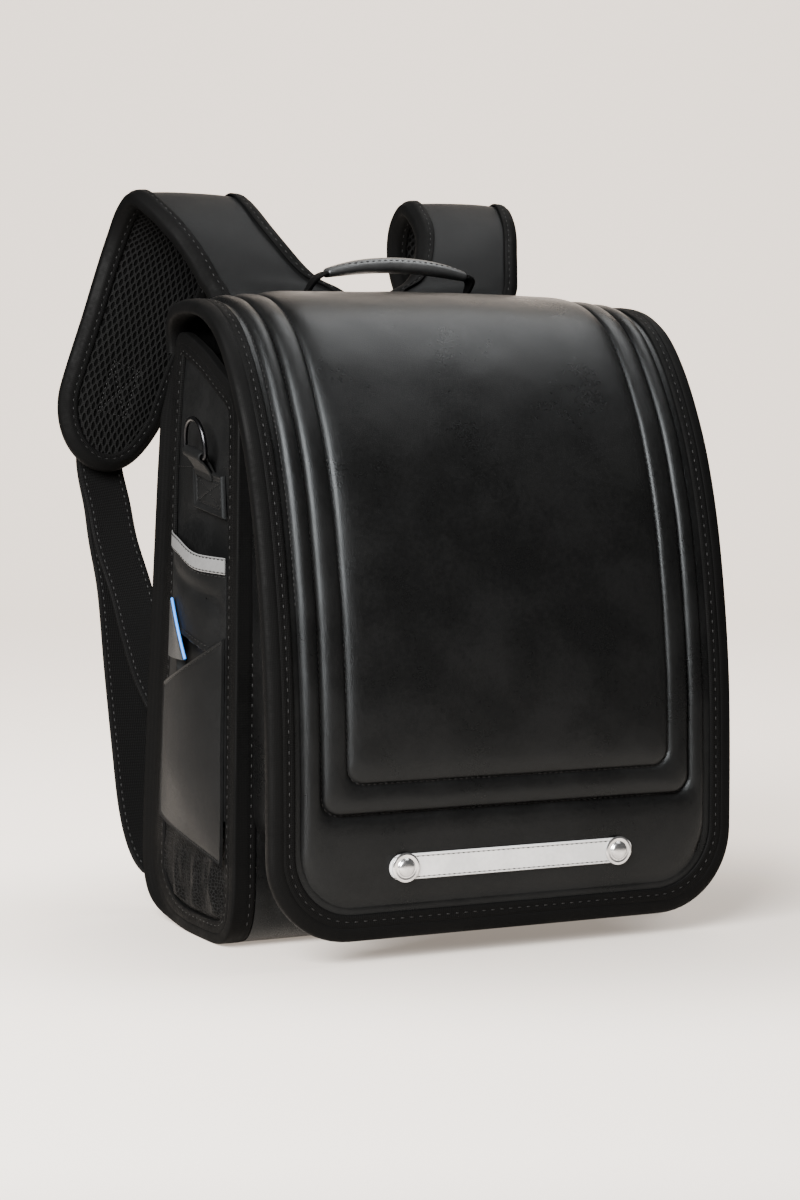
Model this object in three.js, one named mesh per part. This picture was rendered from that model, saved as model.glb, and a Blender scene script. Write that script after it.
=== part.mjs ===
// School backpack with a stiff box body and a long padded flap that folds over the top and front.
// Millimetres. The flap faces -Y, the wearer's back lies at +Y, +Z is up and z = 0 is the ground.
import * as THREE from 'three';
import { mergeVertices } from 'three/addons/utils/BufferGeometryUtils.js';

// Body
const bodyWidth = 272;
const bodyHeight = 332.5;
const bodyFront = 53.5;
const bodyBack = 66;
const bodyTaper = 5;
const wall = 2.2;
const clearance = 0.3;
const wallTop = 296;
const backPad = 10;
const backPadEdge = 5;
const backPadTop = 324;
const backPadFoot = 27;

// Tape over the seams of the body
const seamTape = 11;
const seamTapeMore = 5;
const tapeThickness = 1.9;
const seamFlange = 4.5;
const seamLip = 1.5;
const mouthLip = 3;

// Flap
const flapWidth = 280;
const flapReach = 113;
const flapHeight = 351.5;
const flapFoot = 14;
const flapThickness = 5;
const flapCorner = 45;
const flapTape = 13;
const flapTapeThickness = 1.2;
const channelInset = 28;
const channelFoot = 66;
const ribWidth = 14;
const ribFootWidth = 16;
const panelLift = 7;
const flapHemNarrowing = 6;
const flapHemLength = 45;

// Reflective strip and its rivets
const stripLength = 134;
const stripWidth = 14;
const stripThickness = 1.4;
const stripHeight = 51;
const rivetSpacing = 130;
const rivetRadius = 7.9;
const domeRadius = 4.8;

// Front pocket
const pocketWidth = 252;
const pocketTop = 240;
const pocketFoot = 46;
const pocketCorner = 32;
const pocketGap = 9.5;
const magnetRadius = 7;
const magnetHeight = 66;

// Side pockets
const sheet = 1.8;
const sideBulge = 8;
const hemWidth = 9;
const pipingRadius = 0.9;
const netFold = 1.4;
const netFolds = 4;

// Ring on each side
const ringWire = 1.4;
const ringWidth = 32.5;
const ringHeight = 22.4;
const ringLean = 6;
const ringTilt = 9.5;
const ringPlace = { y: -10.8, z: 268.7, out: 8.6 };
const ringPlay = 0.45;
const tabWidth = 24.5;
const tabThickness = 1.5;
const patchWidth = 43;
const patchHeight = 23.5;
const patchSkew = 0.13;
const patchPlace = { y: -14.5, z: 248 };

// Shoulder straps
const strapWidth = 72;
const strapThickness = 10;
const strapEdge = 6;
const strapTape = 9;
const strapTapeThickness = 1.3;
const strapRise = 419;
const strapReach = 157;
const strapSpread = 135;
const webWidth = 28;
const webThickness = 2.4;
const yokeWidth = 214;
const yokeFoot = 290;
const yokeTop = 338;
const yokeThickness = 2.5;

// Carrying handle
const gripLength = 90;
const gripWidth = 15;
const gripThickness = 9;
const gripEnds = { y: 28, z: 371.5 };
const gripArch = 5.5;
const handleWeb = 12;
const handleWebThickness = 2.2;

const leather = { color: 0x1b1b1c, roughness: 0.42, metalness: 0 };
const tape = { color: 0x121213, roughness: 0.85, metalness: 0 };
const webbing = { color: 0x141415, roughness: 0.8, metalness: 0 };
const net = { color: 0x0e0e0f, roughness: 0.9, metalness: 0 };
const reflector = { color: 0xd8dadc, roughness: 0.35, metalness: 0.1 };
const greyReflector = { color: 0x8d9092, roughness: 0.45, metalness: 0 };
const piping = { color: 0x1d6fc4, roughness: 0.5, metalness: 0 };
const gunmetal = { color: 0x3a3b3d, roughness: 0.25, metalness: 1 };
const silver = { color: 0xc9cbcd, roughness: 0.2, metalness: 1 };

const group = new THREE.Group();
group.name = 'school_ransel';

// Adds one closed body, with doubled points joined and its faces turned outwards.
function addSolid(name, points, triangles, finish) {
  const raw = new THREE.BufferGeometry();
  const flat = points.flatMap((point) => [point.x, point.y, point.z]);
  raw.setAttribute('position', new THREE.Float32BufferAttribute(flat, 3));
  raw.setIndex(triangles);
  const geometry = mergeVertices(raw, 2e-3);
  const place = geometry.getAttribute('position');
  const corner = (index) => new THREE.Vector3().fromBufferAttribute(place, index);
  const kept = [];
  let volume = 0;
  for (let at = 0; at < triangles.length; at += 3) {
    const [a, b, c] = [0, 1, 2].map((step) => geometry.index.getX(at + step));
    if (a === b || b === c || c === a) continue;
    kept.push(a, b, c);
    volume += corner(a).dot(corner(b).cross(corner(c)));
  }
  if (volume < 0) kept.reverse();
  geometry.setIndex(kept);
  geometry.computeVertexNormals();
  const mesh = new THREE.Mesh(geometry, new THREE.MeshStandardMaterial({ ...finish, flatShading: true }));
  mesh.name = name;
  group.add(mesh);
}

// A wall between two grids of points with the same rows and columns.
function addWall(name, outer, inner, finish, { loop = false, lastRim = true } = {}) {
  const rows = outer.length;
  const columns = outer[0].length;
  const front = (row, column) => (row % rows) * columns + column;
  const back = (row, column) => rows * columns + front(row, column);
  const triangles = [];
  const quad = (a, b, c, d) => triangles.push(a, b, c, a, c, d);
  const last = columns - 1;
  for (let row = 0; row < (loop ? rows : rows - 1); row += 1) {
    for (let column = 0; column < last; column += 1) {
      quad(front(row, column), front(row + 1, column), front(row + 1, column + 1), front(row, column + 1));
      quad(back(row, column), back(row, column + 1), back(row + 1, column + 1), back(row + 1, column));
    }
    quad(front(row, 0), back(row, 0), back(row + 1, 0), front(row + 1, 0));
    quad(front(row, last), front(row + 1, last), back(row + 1, last), back(row, last));
  }
  for (let column = 0; column < last && !loop; column += 1) {
    const end = rows - 1;
    quad(front(0, column), front(0, column + 1), back(0, column + 1), back(0, column));
    if (!lastRim) continue;
    quad(front(end, column + 1), front(end, column), back(end, column), back(end, column + 1));
  }
  addSolid(name, [...outer.flat(), ...inner.flat()], triangles, finish);
}

// A bar through a row of convex rings of points, closed by a face at each end.
function addBar(name, rings, finish) {
  const sides = rings[0].length;
  const triangles = [];
  const at = (ring, side) => ring * sides + (side % sides);
  for (let ring = 0; ring < rings.length - 1; ring += 1) {
    for (let side = 0; side < sides; side += 1) {
      triangles.push(at(ring, side), at(ring, side + 1), at(ring + 1, side + 1));
      triangles.push(at(ring, side), at(ring + 1, side + 1), at(ring + 1, side));
    }
  }
  const end = rings.length - 1;
  for (let side = 1; side < sides - 1; side += 1) {
    triangles.push(at(0, 0), at(0, side + 1), at(0, side));
    triangles.push(at(end, 0), at(end, side), at(end, side + 1));
  }
  addSolid(name, rings.flat(), triangles, finish);
}

// Value of a column at a place between the rows of a table, along straight lines.
function readTable(table, key, place, column) {
  let row = 1;
  while (row < table.length - 1 && table[row][key] < place) row += 1;
  const low = table[row - 1];
  const high = table[row];
  const share = THREE.MathUtils.clamp((place - low[key]) / (high[key] - low[key]), 0, 1);
  return THREE.MathUtils.lerp(low[column], high[column], share);
}

const steps = (count, first = 0, last = 1) =>
  Array.from({ length: count + 1 }, (_, index) => first + ((last - first) * index) / count);
const ease = (share) => THREE.MathUtils.smoothstep(share, 0, 1);

// Half of the body's width at a height.
const halfWidth = (z) => bodyWidth / 2 - (bodyTaper * z) / bodyHeight;
const sidePoint = (side, y, z, out) => new THREE.Vector3(side * (halfWidth(z) + out), y, z);

// Outline of a side panel, as shares of the body's reach to the back, to the front and of its height.
const sideRows = [
  { back: 0.3, front: 0, up: 0 },
  { back: 0.55, front: 0, up: 0.008 },
  { back: 0.73, front: 0, up: 0.02 },
  { back: 0.88, front: 0, up: 0.038 },
  { back: 0.97, front: 0, up: 0.06 },
  { back: 0.995, front: 0, up: 0.073 },
  { back: 1, front: 0, up: 0.11 },
  { back: 0.985, front: 0, up: 0.19 },
  { back: 0.91, front: 0, up: 0.37 },
  { back: 0.82, front: 0, up: 0.55 },
  { back: 0.715, front: 0, up: 0.755 },
  { back: 0.65, front: 0, up: 0.86 },
  { back: 0.565, front: 0, up: 0.965 },
  { back: 0.54, front: 0, up: 0.99 },
  { back: 0.48, front: 0, up: 1 },
  { back: 0.36, front: 0, up: 0.998 },
  { back: 0.16, front: 0, up: 0.985 },
  { back: 0, front: 0.12, up: 0.965 },
  { back: 0, front: 0.48, up: 0.935 },
  { back: 0, front: 0.8, up: 0.91 },
  { back: 0, front: 0.95, up: 0.89 },
  { back: 0, front: 1, up: 0.862 },
  { back: 0, front: 1, up: 0.6 },
  { back: 0, front: 1, up: 0.3 },
  { back: 0, front: 1, up: 0.068 },
  { back: 0, front: 0.96, up: 0.036 },
  { back: 0, front: 0.86, up: 0.012 },
  { back: 0, front: 0.7, up: 0 },
];
const outlineLift = clearance + tapeThickness;
const sideOutline = sideRows.map((row) =>
  new THREE.Vector2(row.back * bodyBack - row.front * bodyFront, outlineLift + row.up * bodyHeight));

// Outward direction at each point of the outline, lengthened at corners so that offsets stay even.
const outlineNormals = sideOutline.map((point, index) => {
  const count = sideOutline.length;
  const before = sideOutline[(index + count - 1) % count];
  const after = sideOutline[(index + 1) % count];
  const first = point.clone().sub(before).normalize();
  const second = after.clone().sub(point).normalize();
  const normal = new THREE.Vector2(first.y + second.y, -first.x - second.x).normalize();
  return normal.divideScalar(normal.x * first.y - normal.y * first.x);
});
const outlineAt = (index, offset) =>
  sideOutline[index].clone().addScaledVector(outlineNormals[index], offset);

// Width of the tape on the side: at the back it grows between two rows of the outline.
const tapeGrowth = [{ up: 0.55, more: 1 }, { up: 0.755, more: 0 }];
const rearTape = (z) =>
  seamTape + seamTapeMore * readTable(tapeGrowth, 'up', (z - outlineLift) / bodyHeight, 'more');
const tapeWidth = (index) => THREE.MathUtils.lerp(
  seamTape, rearTape(sideOutline[index].y), ease(outlineNormals[index].x * 1.4));

// The outline's rear edge, read by height, and its run from the front top corner round to the back.
const isRear = (index) => sideRows[index].back > 0.5 && sideOutline[index].y >= backPadFoot - 1;
const rearRows = sideOutline.filter((point, index) => isRear(index) && point.y <= backPadTop);
const rearAt = (z) => readTable(rearRows, 'y', z, 'x');
const frontTop = sideRows.findIndex((row) => row.front === 1);
const rearFoot = sideOutline.findIndex((point) => point.y >= backPadFoot - 1);

// Side panel: the outline as a flat wall, in a strip from front to back.
function addSidePanel(name, side) {
  const shape = new THREE.Shape(sideOutline);
  const geometry = new THREE.ExtrudeGeometry(shape, { depth: wall, bevelEnabled: false });
  const place = geometry.getAttribute('position');
  const points = [];
  for (let index = 0; index < place.count; index += 1) {
    points.push(sidePoint(side, place.getX(index), place.getY(index), place.getZ(index) - wall));
  }
  addSolid(name, points, points.map((_, index) => index), leather);
}

// Tape folded round the edge of a side panel. At the back it stands out as a bound seam.
function addSideBinding(name, side) {
  const outer = [];
  const inner = [];
  for (let index = 0; index < sideOutline.length; index += 1) {
    const normal = outlineNormals[index];
    const onTop = normal.y > 0.4;
    const height = sideOutline[index].y;
    const fade = ease((height - outlineLift) / 12) * (1 - ease((height - 0.86 * bodyHeight) / 30));
    const flange = seamFlange * ease(normal.x * 1.4) * fade;
    const leg = onTop ? mouthLip : isRear(index) ? seamLip : seamTape;
    const skin = clearance + tapeThickness;
    const put = (list, section) => list.push(section.map(([offset, out]) => {
      const point = outlineAt(index, offset);
      return new THREE.Vector3(side * (halfWidth(height) + out), point.x, point.y);
    }));
    const width = tapeWidth(index);
    put(outer, [[-width, skin], [-seamLip, skin], [skin + flange, skin + flange], [skin, -0.5], [skin, -leg]]);
    put(inner, [[-width, clearance], [-seamLip, clearance], [clearance, clearance],
      [clearance, -0.5], [clearance, -leg]]);
  }
  addWall(name, outer, inner, tape, { loop: true });
}

// Front, bottom and lower back of the body in one bent wall, flush with the tape beside it.
function addBodyWall() {
  const outer = [];
  const inner = [];
  const run = [];
  for (let index = frontTop; index < sideOutline.length; index += 1) run.push(index);
  for (let index = 0; index <= rearFoot; index += 1) run.push(index);
  for (const index of run) {
    const height = Math.min(sideOutline[index].y, wallTop);
    const half = halfWidth(height) - seamTape - clearance;
    const across = (offset) => {
      const point = outlineAt(index, offset);
      return [-half, half].map((x) => new THREE.Vector3(x, point.x, point.y));
    };
    outer.push(across(outlineLift));
    inner.push(across(0));
  }
  addWall('body_wall', outer, inner, leather);
}

// The back panel's outer face at a height and at a share of its half width.
function backFace(z, share = 0) {
  const height = THREE.MathUtils.clamp(z, backPadFoot, backPadTop);
  const up = (height - backPadFoot) / (backPadTop - backPadFoot);
  const swell = Math.min(1, 6 * Math.min(up, 1 - up) + (up > 0.5 ? 1 : 0));
  const edge = 1 - Math.min(Math.abs(share), 1) ** 6;
  return rearAt(height) + clearance + backPadEdge + (backPad - backPadEdge) * edge * swell;
}

// Padded panel that lies on the wearer's back.
function addBackPanel() {
  const between = rearRows.map((point) => point.y).filter((z) => z > backPadFoot + 4 && z < backPadTop - 4);
  const heights = [backPadFoot, ...between, backPadTop];
  const grid = (faceAt) => heights.map((z) => steps(8, -1, 1).map((share) =>
    new THREE.Vector3(share * (halfWidth(z) - seamLip - clearance), faceAt(z, share), z)));
  addWall('back_panel', grid(backFace), grid((z) => rearAt(z) + clearance), leather);
}

// Profile of the flap's outer face at its edge, from its rear hem over the top to the bottom edge.
// Forward is a share of the flap's reach to the front, up of its height.
const flapRows = [
  { forward: -0.416, up: 0.926 },
  { forward: -0.411, up: 0.945 },
  { forward: -0.373, up: 0.97 },
  { forward: -0.283, up: 0.99 },
  { forward: -0.133, up: 1 },
  { forward: 0.044, up: 1 },
  { forward: 0.221, up: 0.987 },
  { forward: 0.389, up: 0.956 },
  { forward: 0.531, up: 0.906 },
  { forward: 0.655, up: 0.842 },
  { forward: 0.77, up: 0.762 },
  { forward: 0.867, up: 0.66 },
  { forward: 0.938, up: 0.541 },
  { forward: 0.985, up: 0.413 },
  { forward: 1, up: 0.285 },
  { forward: 1, up: 0.15 },
];
const flapCurve = new THREE.SplineCurve([
  ...flapRows.map((row) => new THREE.Vector2(-row.forward * flapReach, row.up * flapHeight)),
  new THREE.Vector2(-flapReach, flapFoot),
]);
flapCurve.arcLengthDivisions = 600;
const flapLength = flapCurve.getLength();

// A point on the flap: x across, along from the rear hem, lift out of its edge profile.
function flapPoint(x, along, lift) {
  const share = THREE.MathUtils.clamp(along / flapLength, 0, 1);
  const place = flapCurve.getPointAt(share);
  const run = flapCurve.getTangentAt(share);
  const narrowing = 1 - (2 * flapHemNarrowing / flapWidth) * (1 - ease(along / flapHemLength));
  const past = along - share * flapLength;
  const y = place.x + run.y * lift + run.x * past;
  return new THREE.Vector3(x * narrowing, y, place.y - run.x * lift + run.y * past);
}

// The flap's lines, each a U open at the hem: inset from the side, height over the foot, lift.
const flapLines = [
  { inset: 0, foot: 0, lift: 0 },
  { inset: flapTape, foot: flapTape, lift: 0.5 },
  { inset: flapTape + 4, foot: flapTape + 4, lift: 0.8 },
  { inset: channelInset - 5, foot: channelFoot - 7, lift: 0.55 * panelLift },
  { inset: channelInset, foot: channelFoot, lift: 0.25 * panelLift },
  { inset: channelInset + 0.4 * ribWidth, foot: channelFoot + 0.4 * ribFootWidth, lift: 0.75 * panelLift },
  { inset: channelInset + 0.75 * ribWidth, foot: channelFoot + 0.75 * ribFootWidth, lift: 0.7 * panelLift },
  { inset: channelInset + ribWidth, foot: channelFoot + ribFootWidth, lift: 0.5 * panelLift },
  { inset: channelInset + 1.4 * ribWidth, foot: channelFoot + 1.4 * ribFootWidth, lift: 0.92 * panelLift },
  { inset: channelInset + 3 * ribWidth, foot: channelFoot + 3 * ribFootWidth, lift: panelLift },
  { inset: flapWidth / 2, foot: channelFoot + 7 * ribFootWidth, lift: 1.15 * panelLift },
];

// Points (across, along) of a U whose legs run from the open end to round lower corners.
function uLine(half, length, radius, sideShares, arcSteps, footSteps) {
  const round = Math.max(0, Math.min(radius, half));
  const left = sideShares.map((share) => [-half, share * (length - round)]);
  for (const share of steps(arcSteps).slice(1)) {
    const turn = (share * Math.PI) / 2;
    left.push([-half + round * (1 - Math.cos(turn)), length - round + round * Math.sin(turn)]);
  }
  const foot = steps(footSteps, -1, 1).slice(1, -1).map((share) => [share * (half - round), length]);
  return [...left, ...foot, ...left.map(([x, along]) => [-x, along]).reverse()];
}
const flapSideShares = [0, 0.035, 0.08, 0.13, 0.19, 0.25, 0.32, 0.39, 0.47, 0.56, 0.7, 0.85, 1];
const flapU = (inset, foot) => {
  const half = flapWidth / 2 - inset;
  const radius = Math.max(flapCorner - 0.5 * (inset + foot) * 0.85, 10);
  return uLine(half, flapLength - foot, radius, flapSideShares, 4, 3);
};
const hemFade = (along) => ease(along / (0.7 * flapHemLength));

// Flap: a moulded padded cover with two sunk channels round its middle panel.
function addFlap() {
  const grid = (liftOf) => flapLines.map((line) =>
    flapU(line.inset, line.foot).map(([x, along]) => flapPoint(x, along, liftOf(line, along))));
  const outer = grid((line, along) => line.lift * hemFade(along));
  const inner = grid((line, along) => 0.6 * line.lift * hemFade(along) - flapThickness);
  addWall('flap', outer, inner, leather, { lastRim: false });
}

// Tape folded round the flap's edge.
function addFlapBinding() {
  const over = clearance + flapTapeThickness;
  const section = (pairs) => pairs.map(([inset, lift]) => {
    const half = flapWidth / 2 - inset;
    const line = uLine(half, flapLength - inset, flapCorner - 0.85 * inset, flapSideShares, 4, 3);
    return line.map(([x, along]) => flapPoint(x, along, lift));
  });
  const turned = (columns) => columns[0].map((_, row) => columns.map((column) => column[row]));
  const under = -flapThickness;
  const outer = section([[flapTape, 0.6 + over], [3, 0.3 + over], [-over, -0.4], [-over, under + 0.4],
    [3, under - over], [flapTape, under - over + 0.3]]);
  const inner = section([[flapTape, 0.6 + clearance], [3, 0.3 + clearance], [-clearance, 0], [-clearance, under],
    [3, under - clearance], [flapTape, under - clearance + 0.3]]);
  addWall('flap_binding', turned(outer), turned(inner), tape);
}

// Height of the flap's face over its edge profile, low on its front between tape and outer channel.
const apronLift = (foot) => readTable(flapLines.slice(2, 4), 'foot', foot, 'lift');

// Reflective strip with round ends, riveted low on the flap's front.
function addStrip() {
  const grid = (lift) => steps(16, -1, 1).map((share) => {
    const round = stripWidth / 2;
    const x = share * (stripLength / 2 + round);
    const past = Math.max(0, Math.abs(x) - stripLength / 2);
    const half = Math.max(Math.sqrt(round ** 2 - past ** 2), 1.5);
    return [-half, half].map((rise) => {
      const foot = stripHeight - flapFoot + rise;
      return flapPoint(x, flapLength - foot, apronLift(foot) + lift);
    });
  });
  addWall('reflective_strip', grid(clearance + stripThickness), grid(clearance), reflector);
}

// Rivet: a washer with a domed head, turned about its own axis.
function addRivet(name, side) {
  const profile = [[0, 0], [rivetRadius, 0], [rivetRadius, 0.5], [domeRadius + 0.4, 0.8], [domeRadius, 1.1],
    [0.8 * domeRadius, 1.9], [0.45 * domeRadius, 2.5], [0, 2.7]];
  const geometry = new THREE.LatheGeometry(profile.map(([x, y]) => new THREE.Vector2(x, y)), 16);
  const foot = stripHeight - flapFoot;
  const seat = apronLift(foot) + 2 * clearance + stripThickness;
  const lean = Math.atan2(flapLines[3].lift - flapLines[2].lift, flapLines[3].foot - flapLines[2].foot);
  geometry.rotateX(Math.PI + lean);
  const place = flapPoint((side * rivetSpacing) / 2, flapLength - foot, seat);
  geometry.translate(place.x, place.y, place.z);
  const source = geometry.getAttribute('position');
  const points = steps(source.count - 1, 0, source.count - 1).map((index) =>
    new THREE.Vector3().fromBufferAttribute(source, Math.round(index)));
  addSolid(name, points, Array.from(geometry.index.array), silver);
}

// Flap's distance ahead of the origin at a height, below its shoulder.
const flapFront = (z) => readTable(
  [...flapRows].reverse().map((row) => ({ z: row.up * flapHeight, y: row.forward * flapReach })), 'z', z, 'y');

// Front pocket: a soft pouch between the body and the flap, open at its top.
const pouchRows = [
  { inset: 0, depth: 0 },
  { inset: 1.2, depth: 0.4 },
  { inset: 4, depth: 0.68 },
  { inset: 10, depth: 0.88 },
  { inset: 20, depth: 0.97 },
  { inset: 50, depth: 1 },
  { inset: pocketWidth / 2, depth: 1 },
];
const bodyFace = bodyFront + outlineLift;
const pocketDepth = (z) => flapFront(z) - pocketGap - bodyFace - clearance;
function addFrontPocket() {
  const height = pocketTop - pocketFoot;
  const shares = [0, 0.2, 0.4, 0.6, 0.8, 1];
  const grid = (thinner) => pouchRows.map((row, index) => {
    const inset = row.inset + (index === pouchRows.length - 1 ? 0 : thinner);
    const foot = Math.min(inset, height / 2);
    const radius = Math.max(pocketCorner - inset, 4);
    return uLine(pocketWidth / 2 - inset, height - foot, radius, shares, 4, 3).map(([x, along]) => {
      const z = pocketTop - along;
      const depth = Math.max(row.depth * pocketDepth(z) - thinner, 0);
      return new THREE.Vector3(x, -bodyFace - clearance - depth, z);
    });
  });
  addWall('front_pocket', grid(0), grid(wall), leather, { lastRim: false });
}

// Magnet that holds the flap to the pocket.
function addMagnet() {
  const foot = magnetHeight - flapFoot - magnetRadius;
  const inside = flapPoint(0, flapLength - foot, 0.6 * apronLift(foot) - flapThickness).y + clearance;
  const swell = readTable(pouchRows, 'inset', magnetHeight - pocketFoot + magnetRadius, 'depth');
  const pouch = -bodyFace - clearance - swell * pocketDepth(magnetHeight) - clearance;
  const rings = [inside, pouch].map((y) => steps(12).slice(1).map((share) => {
    const turn = 2 * Math.PI * share;
    return new THREE.Vector3(magnetRadius * Math.cos(turn), y, magnetHeight + magnetRadius * Math.sin(turn));
  }));
  addBar('flap_magnet', rings, gunmetal);
}

// Swelling of the soft side, over the side panel, between its tapes and up to the pocket's hem.
const sideFront = -bodyFront + seamTape + clearance;
const sideRear = (z) => rearAt(Math.max(z, backPadFoot)) - rearTape(z) - 2 * clearance;
function swelling(y, z) {
  const rear = sideRear(z);
  const across = (2 * y - sideFront - rear) / (rear - sideFront);
  const low = ease((z - 30) / 70);
  return sideBulge * Math.max(0, 1 - across ** 2) * low;
}

// A piece of sheet on the body's side, between two heights that vary from front to back.
function addSideSheet(name, side, rows, columns, lowOf, highOf, baseOf, thickness, finish) {
  const grid = (more) => steps(rows).map((back) => steps(columns).map((up) => {
    const z = THREE.MathUtils.lerp(lowOf(back), highOf(back), up);
    const y = THREE.MathUtils.lerp(sideFront, sideRear(z), back);
    return sidePoint(side, y, z, baseOf(y, z) + more);
  }));
  addWall(name, grid(thickness), grid(0), finish);
}

// Heights of the side pieces' edges, as shares of the body's height, from front to back.
const hemRows = [
  { back: 0, up: 0.64 },
  { back: 0.35, up: 0.648 },
  { back: 0.65, up: 0.676 },
  { back: 1, up: 0.689 },
];
const cuffSag = 4;
const cuffTop = (back) =>
  bodyHeight * THREE.MathUtils.lerp(0.51, 0.42, back) - cuffSag * (1 - (2 * back - 1) ** 2);
const cuffFoot = (back) => bodyHeight * THREE.MathUtils.lerp(0.135, 0.187, back);
const netTop = 0.2 * bodyHeight;
const pocketLow = 0.21 * bodyHeight;
const hemAt = (back) => bodyHeight * readTable(hemRows, 'back', back, 'up');
const stack = 0.7;

function addSidePockets(tag, side) {
  const onPocket = (y, z) => stack + swelling(y, z);
  const onPatch = (y, z) => onPocket(y, z) + sheet + stack;
  addSideSheet(`side_pocket_${tag}`, side, 8, 6, () => pocketLow, hemAt, onPocket, sheet, leather);
  const hemLow = (back) => hemAt(back) - hemWidth;
  addSideSheet(`pocket_reflector_${tag}`, side, 8, 1, hemLow, (back) => hemAt(back) - 1, onPatch, 0.6, greyReflector);
  addSideSheet(`cuff_${tag}`, side, 8, 4, cuffFoot, cuffTop, onPatch, sheet, leather);
}

// Inner edge of the side tape along the foot of the body, from front to back.
const footRun = [frontTop + 3, frontTop + 4, frontTop + 5, frontTop + 6, 0, 1, 2, 3, 4, 5, 6];
const tapeFoot = footRun.map((index) => outlineAt(index, -tapeWidth(index) - clearance))
  .filter((point, index, all) => index === 0 || point.x > Math.max(...all.slice(0, index).map((p) => p.x)));

// Net at the foot of the side, gathered into upright folds.
function addNet(tag, side) {
  const low = (back) => {
    const y = THREE.MathUtils.lerp(sideFront, sideRear(backPadFoot), back);
    return readTable(tapeFoot, 'x', y, 'y') + clearance;
  };
  const folds = (y, z) => {
    const fade = 1 - ease((z - 0.09 * bodyHeight) / (0.04 * bodyHeight));
    const wave = 0.5 - 0.5 * Math.cos((2 * Math.PI * netFolds * (y - sideFront)) / (bodyBack + bodyFront));
    return 0.3 + netFold * wave * fade;
  };
  addSideSheet(`net_${tag}`, side, 16, 3, low, () => netTop, folds, 1, net);
}

// Fold of leather behind the cuff, and the coloured piping along its free edge.
function addLip(tag, side) {
  const out = (y, z) => stack + swelling(y, z) + sheet + stack;
  const top = bodyHeight * 0.561;
  const foot = (y) => {
    const back = (y - sideFront) / (sideRear(cuffTop(1)) - sideFront);
    return cuffTop(THREE.MathUtils.clamp(back, 0, 1)) + 1.5;
  };
  const depth = sideRear(top) - sideFront;
  const edgeY = (share) => sideFront + depth * THREE.MathUtils.lerp(0.79, 0.459, share ** 0.8);
  const edge = steps(5).map((share) => {
    const y = edgeY(share);
    return { y, z: THREE.MathUtils.lerp(top, foot(edgeY(1)) + 1, share) };
  });
  const grid = (more) => edge.map((point) => steps(3).map((share) => {
    const y = THREE.MathUtils.lerp(edgeY(0) + 8, point.y, share);
    const z = share === 1 ? Math.max(point.z, foot(y) + 1) : Math.max(point.z, foot(y));
    return sidePoint(side, y, z, out(y, z) + more);
  }));
  addWall(`pocket_lip_${tag}`, grid(1.2), grid(0), leather);
  const rings = edge.map((point, index) => {
    const next = edge[Math.min(index + 1, edge.length - 1)];
    const last = edge[Math.max(index - 1, 0)];
    const run = new THREE.Vector2(next.y - last.y, next.z - last.z).normalize();
    const lift = clearance + pipingRadius;
    return steps(6).slice(1).map((share) => {
      const turn = 2 * Math.PI * share;
      const offset = pipingRadius * Math.cos(turn) + lift;
      const y = point.y + run.y * offset;
      const z = Math.max(point.z, foot(point.y) + 1) - run.x * offset;
      return sidePoint(side, y, z, out(y, z) + pipingRadius * (1 + Math.sin(turn)));
    });
  });
  addBar(`piping_${tag}`, rings, piping);
}

// A point near the ring, from a place along its bar, the rise over the bar and the distance out.
function ringPoint(side, along, up, out) {
  const tilt = (ringTilt * Math.PI) / 180;
  const y = ringPlace.y + along * Math.cos(tilt) - up * Math.sin(tilt);
  const z = ringPlace.z + along * Math.sin(tilt) + up * Math.cos(tilt);
  return sidePoint(side, y, ringPlace.z, out).setZ(z);
}

// Ring with a straight bar and a round bow, leaning out of its loop.
function addRing(name, side) {
  const half = ringWidth / 2 - ringWire;
  const corner = 2;
  const reach = ringHeight - 2 * ringWire;
  const path = new THREE.CurvePath();
  const lean = (ringLean * Math.PI) / 180;
  const at = (y, up) => ringPoint(side, y, up * Math.cos(lean), ringPlace.out + up * Math.sin(lean));
  const rise = reach - half;
  path.add(new THREE.LineCurve3(at(-half + corner, 0), at(half - corner, 0)));
  path.add(new THREE.QuadraticBezierCurve3(at(half - corner, 0), at(half, 0), at(half, corner)));
  path.add(new THREE.LineCurve3(at(half, corner), at(half, rise)));
  const bow = 0.5523 * half;
  path.add(new THREE.CubicBezierCurve3(at(half, rise), at(half, rise + bow), at(bow, reach), at(0, reach)));
  path.add(new THREE.CubicBezierCurve3(at(0, reach), at(-bow, reach), at(-half, rise + bow), at(-half, rise)));
  path.add(new THREE.LineCurve3(at(-half, rise), at(-half, corner)));
  path.add(new THREE.QuadraticBezierCurve3(at(-half, corner), at(-half, 0), at(-half + corner, 0)));
  const geometry = new THREE.TubeGeometry(path, 28, ringWire, 8, true);
  const source = geometry.getAttribute('position');
  const points = steps(source.count - 1, 0, source.count - 1).map((index) =>
    new THREE.Vector3().fromBufferAttribute(source, Math.round(index)));
  addSolid(name, points, Array.from(geometry.index.array), gunmetal);
}

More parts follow.
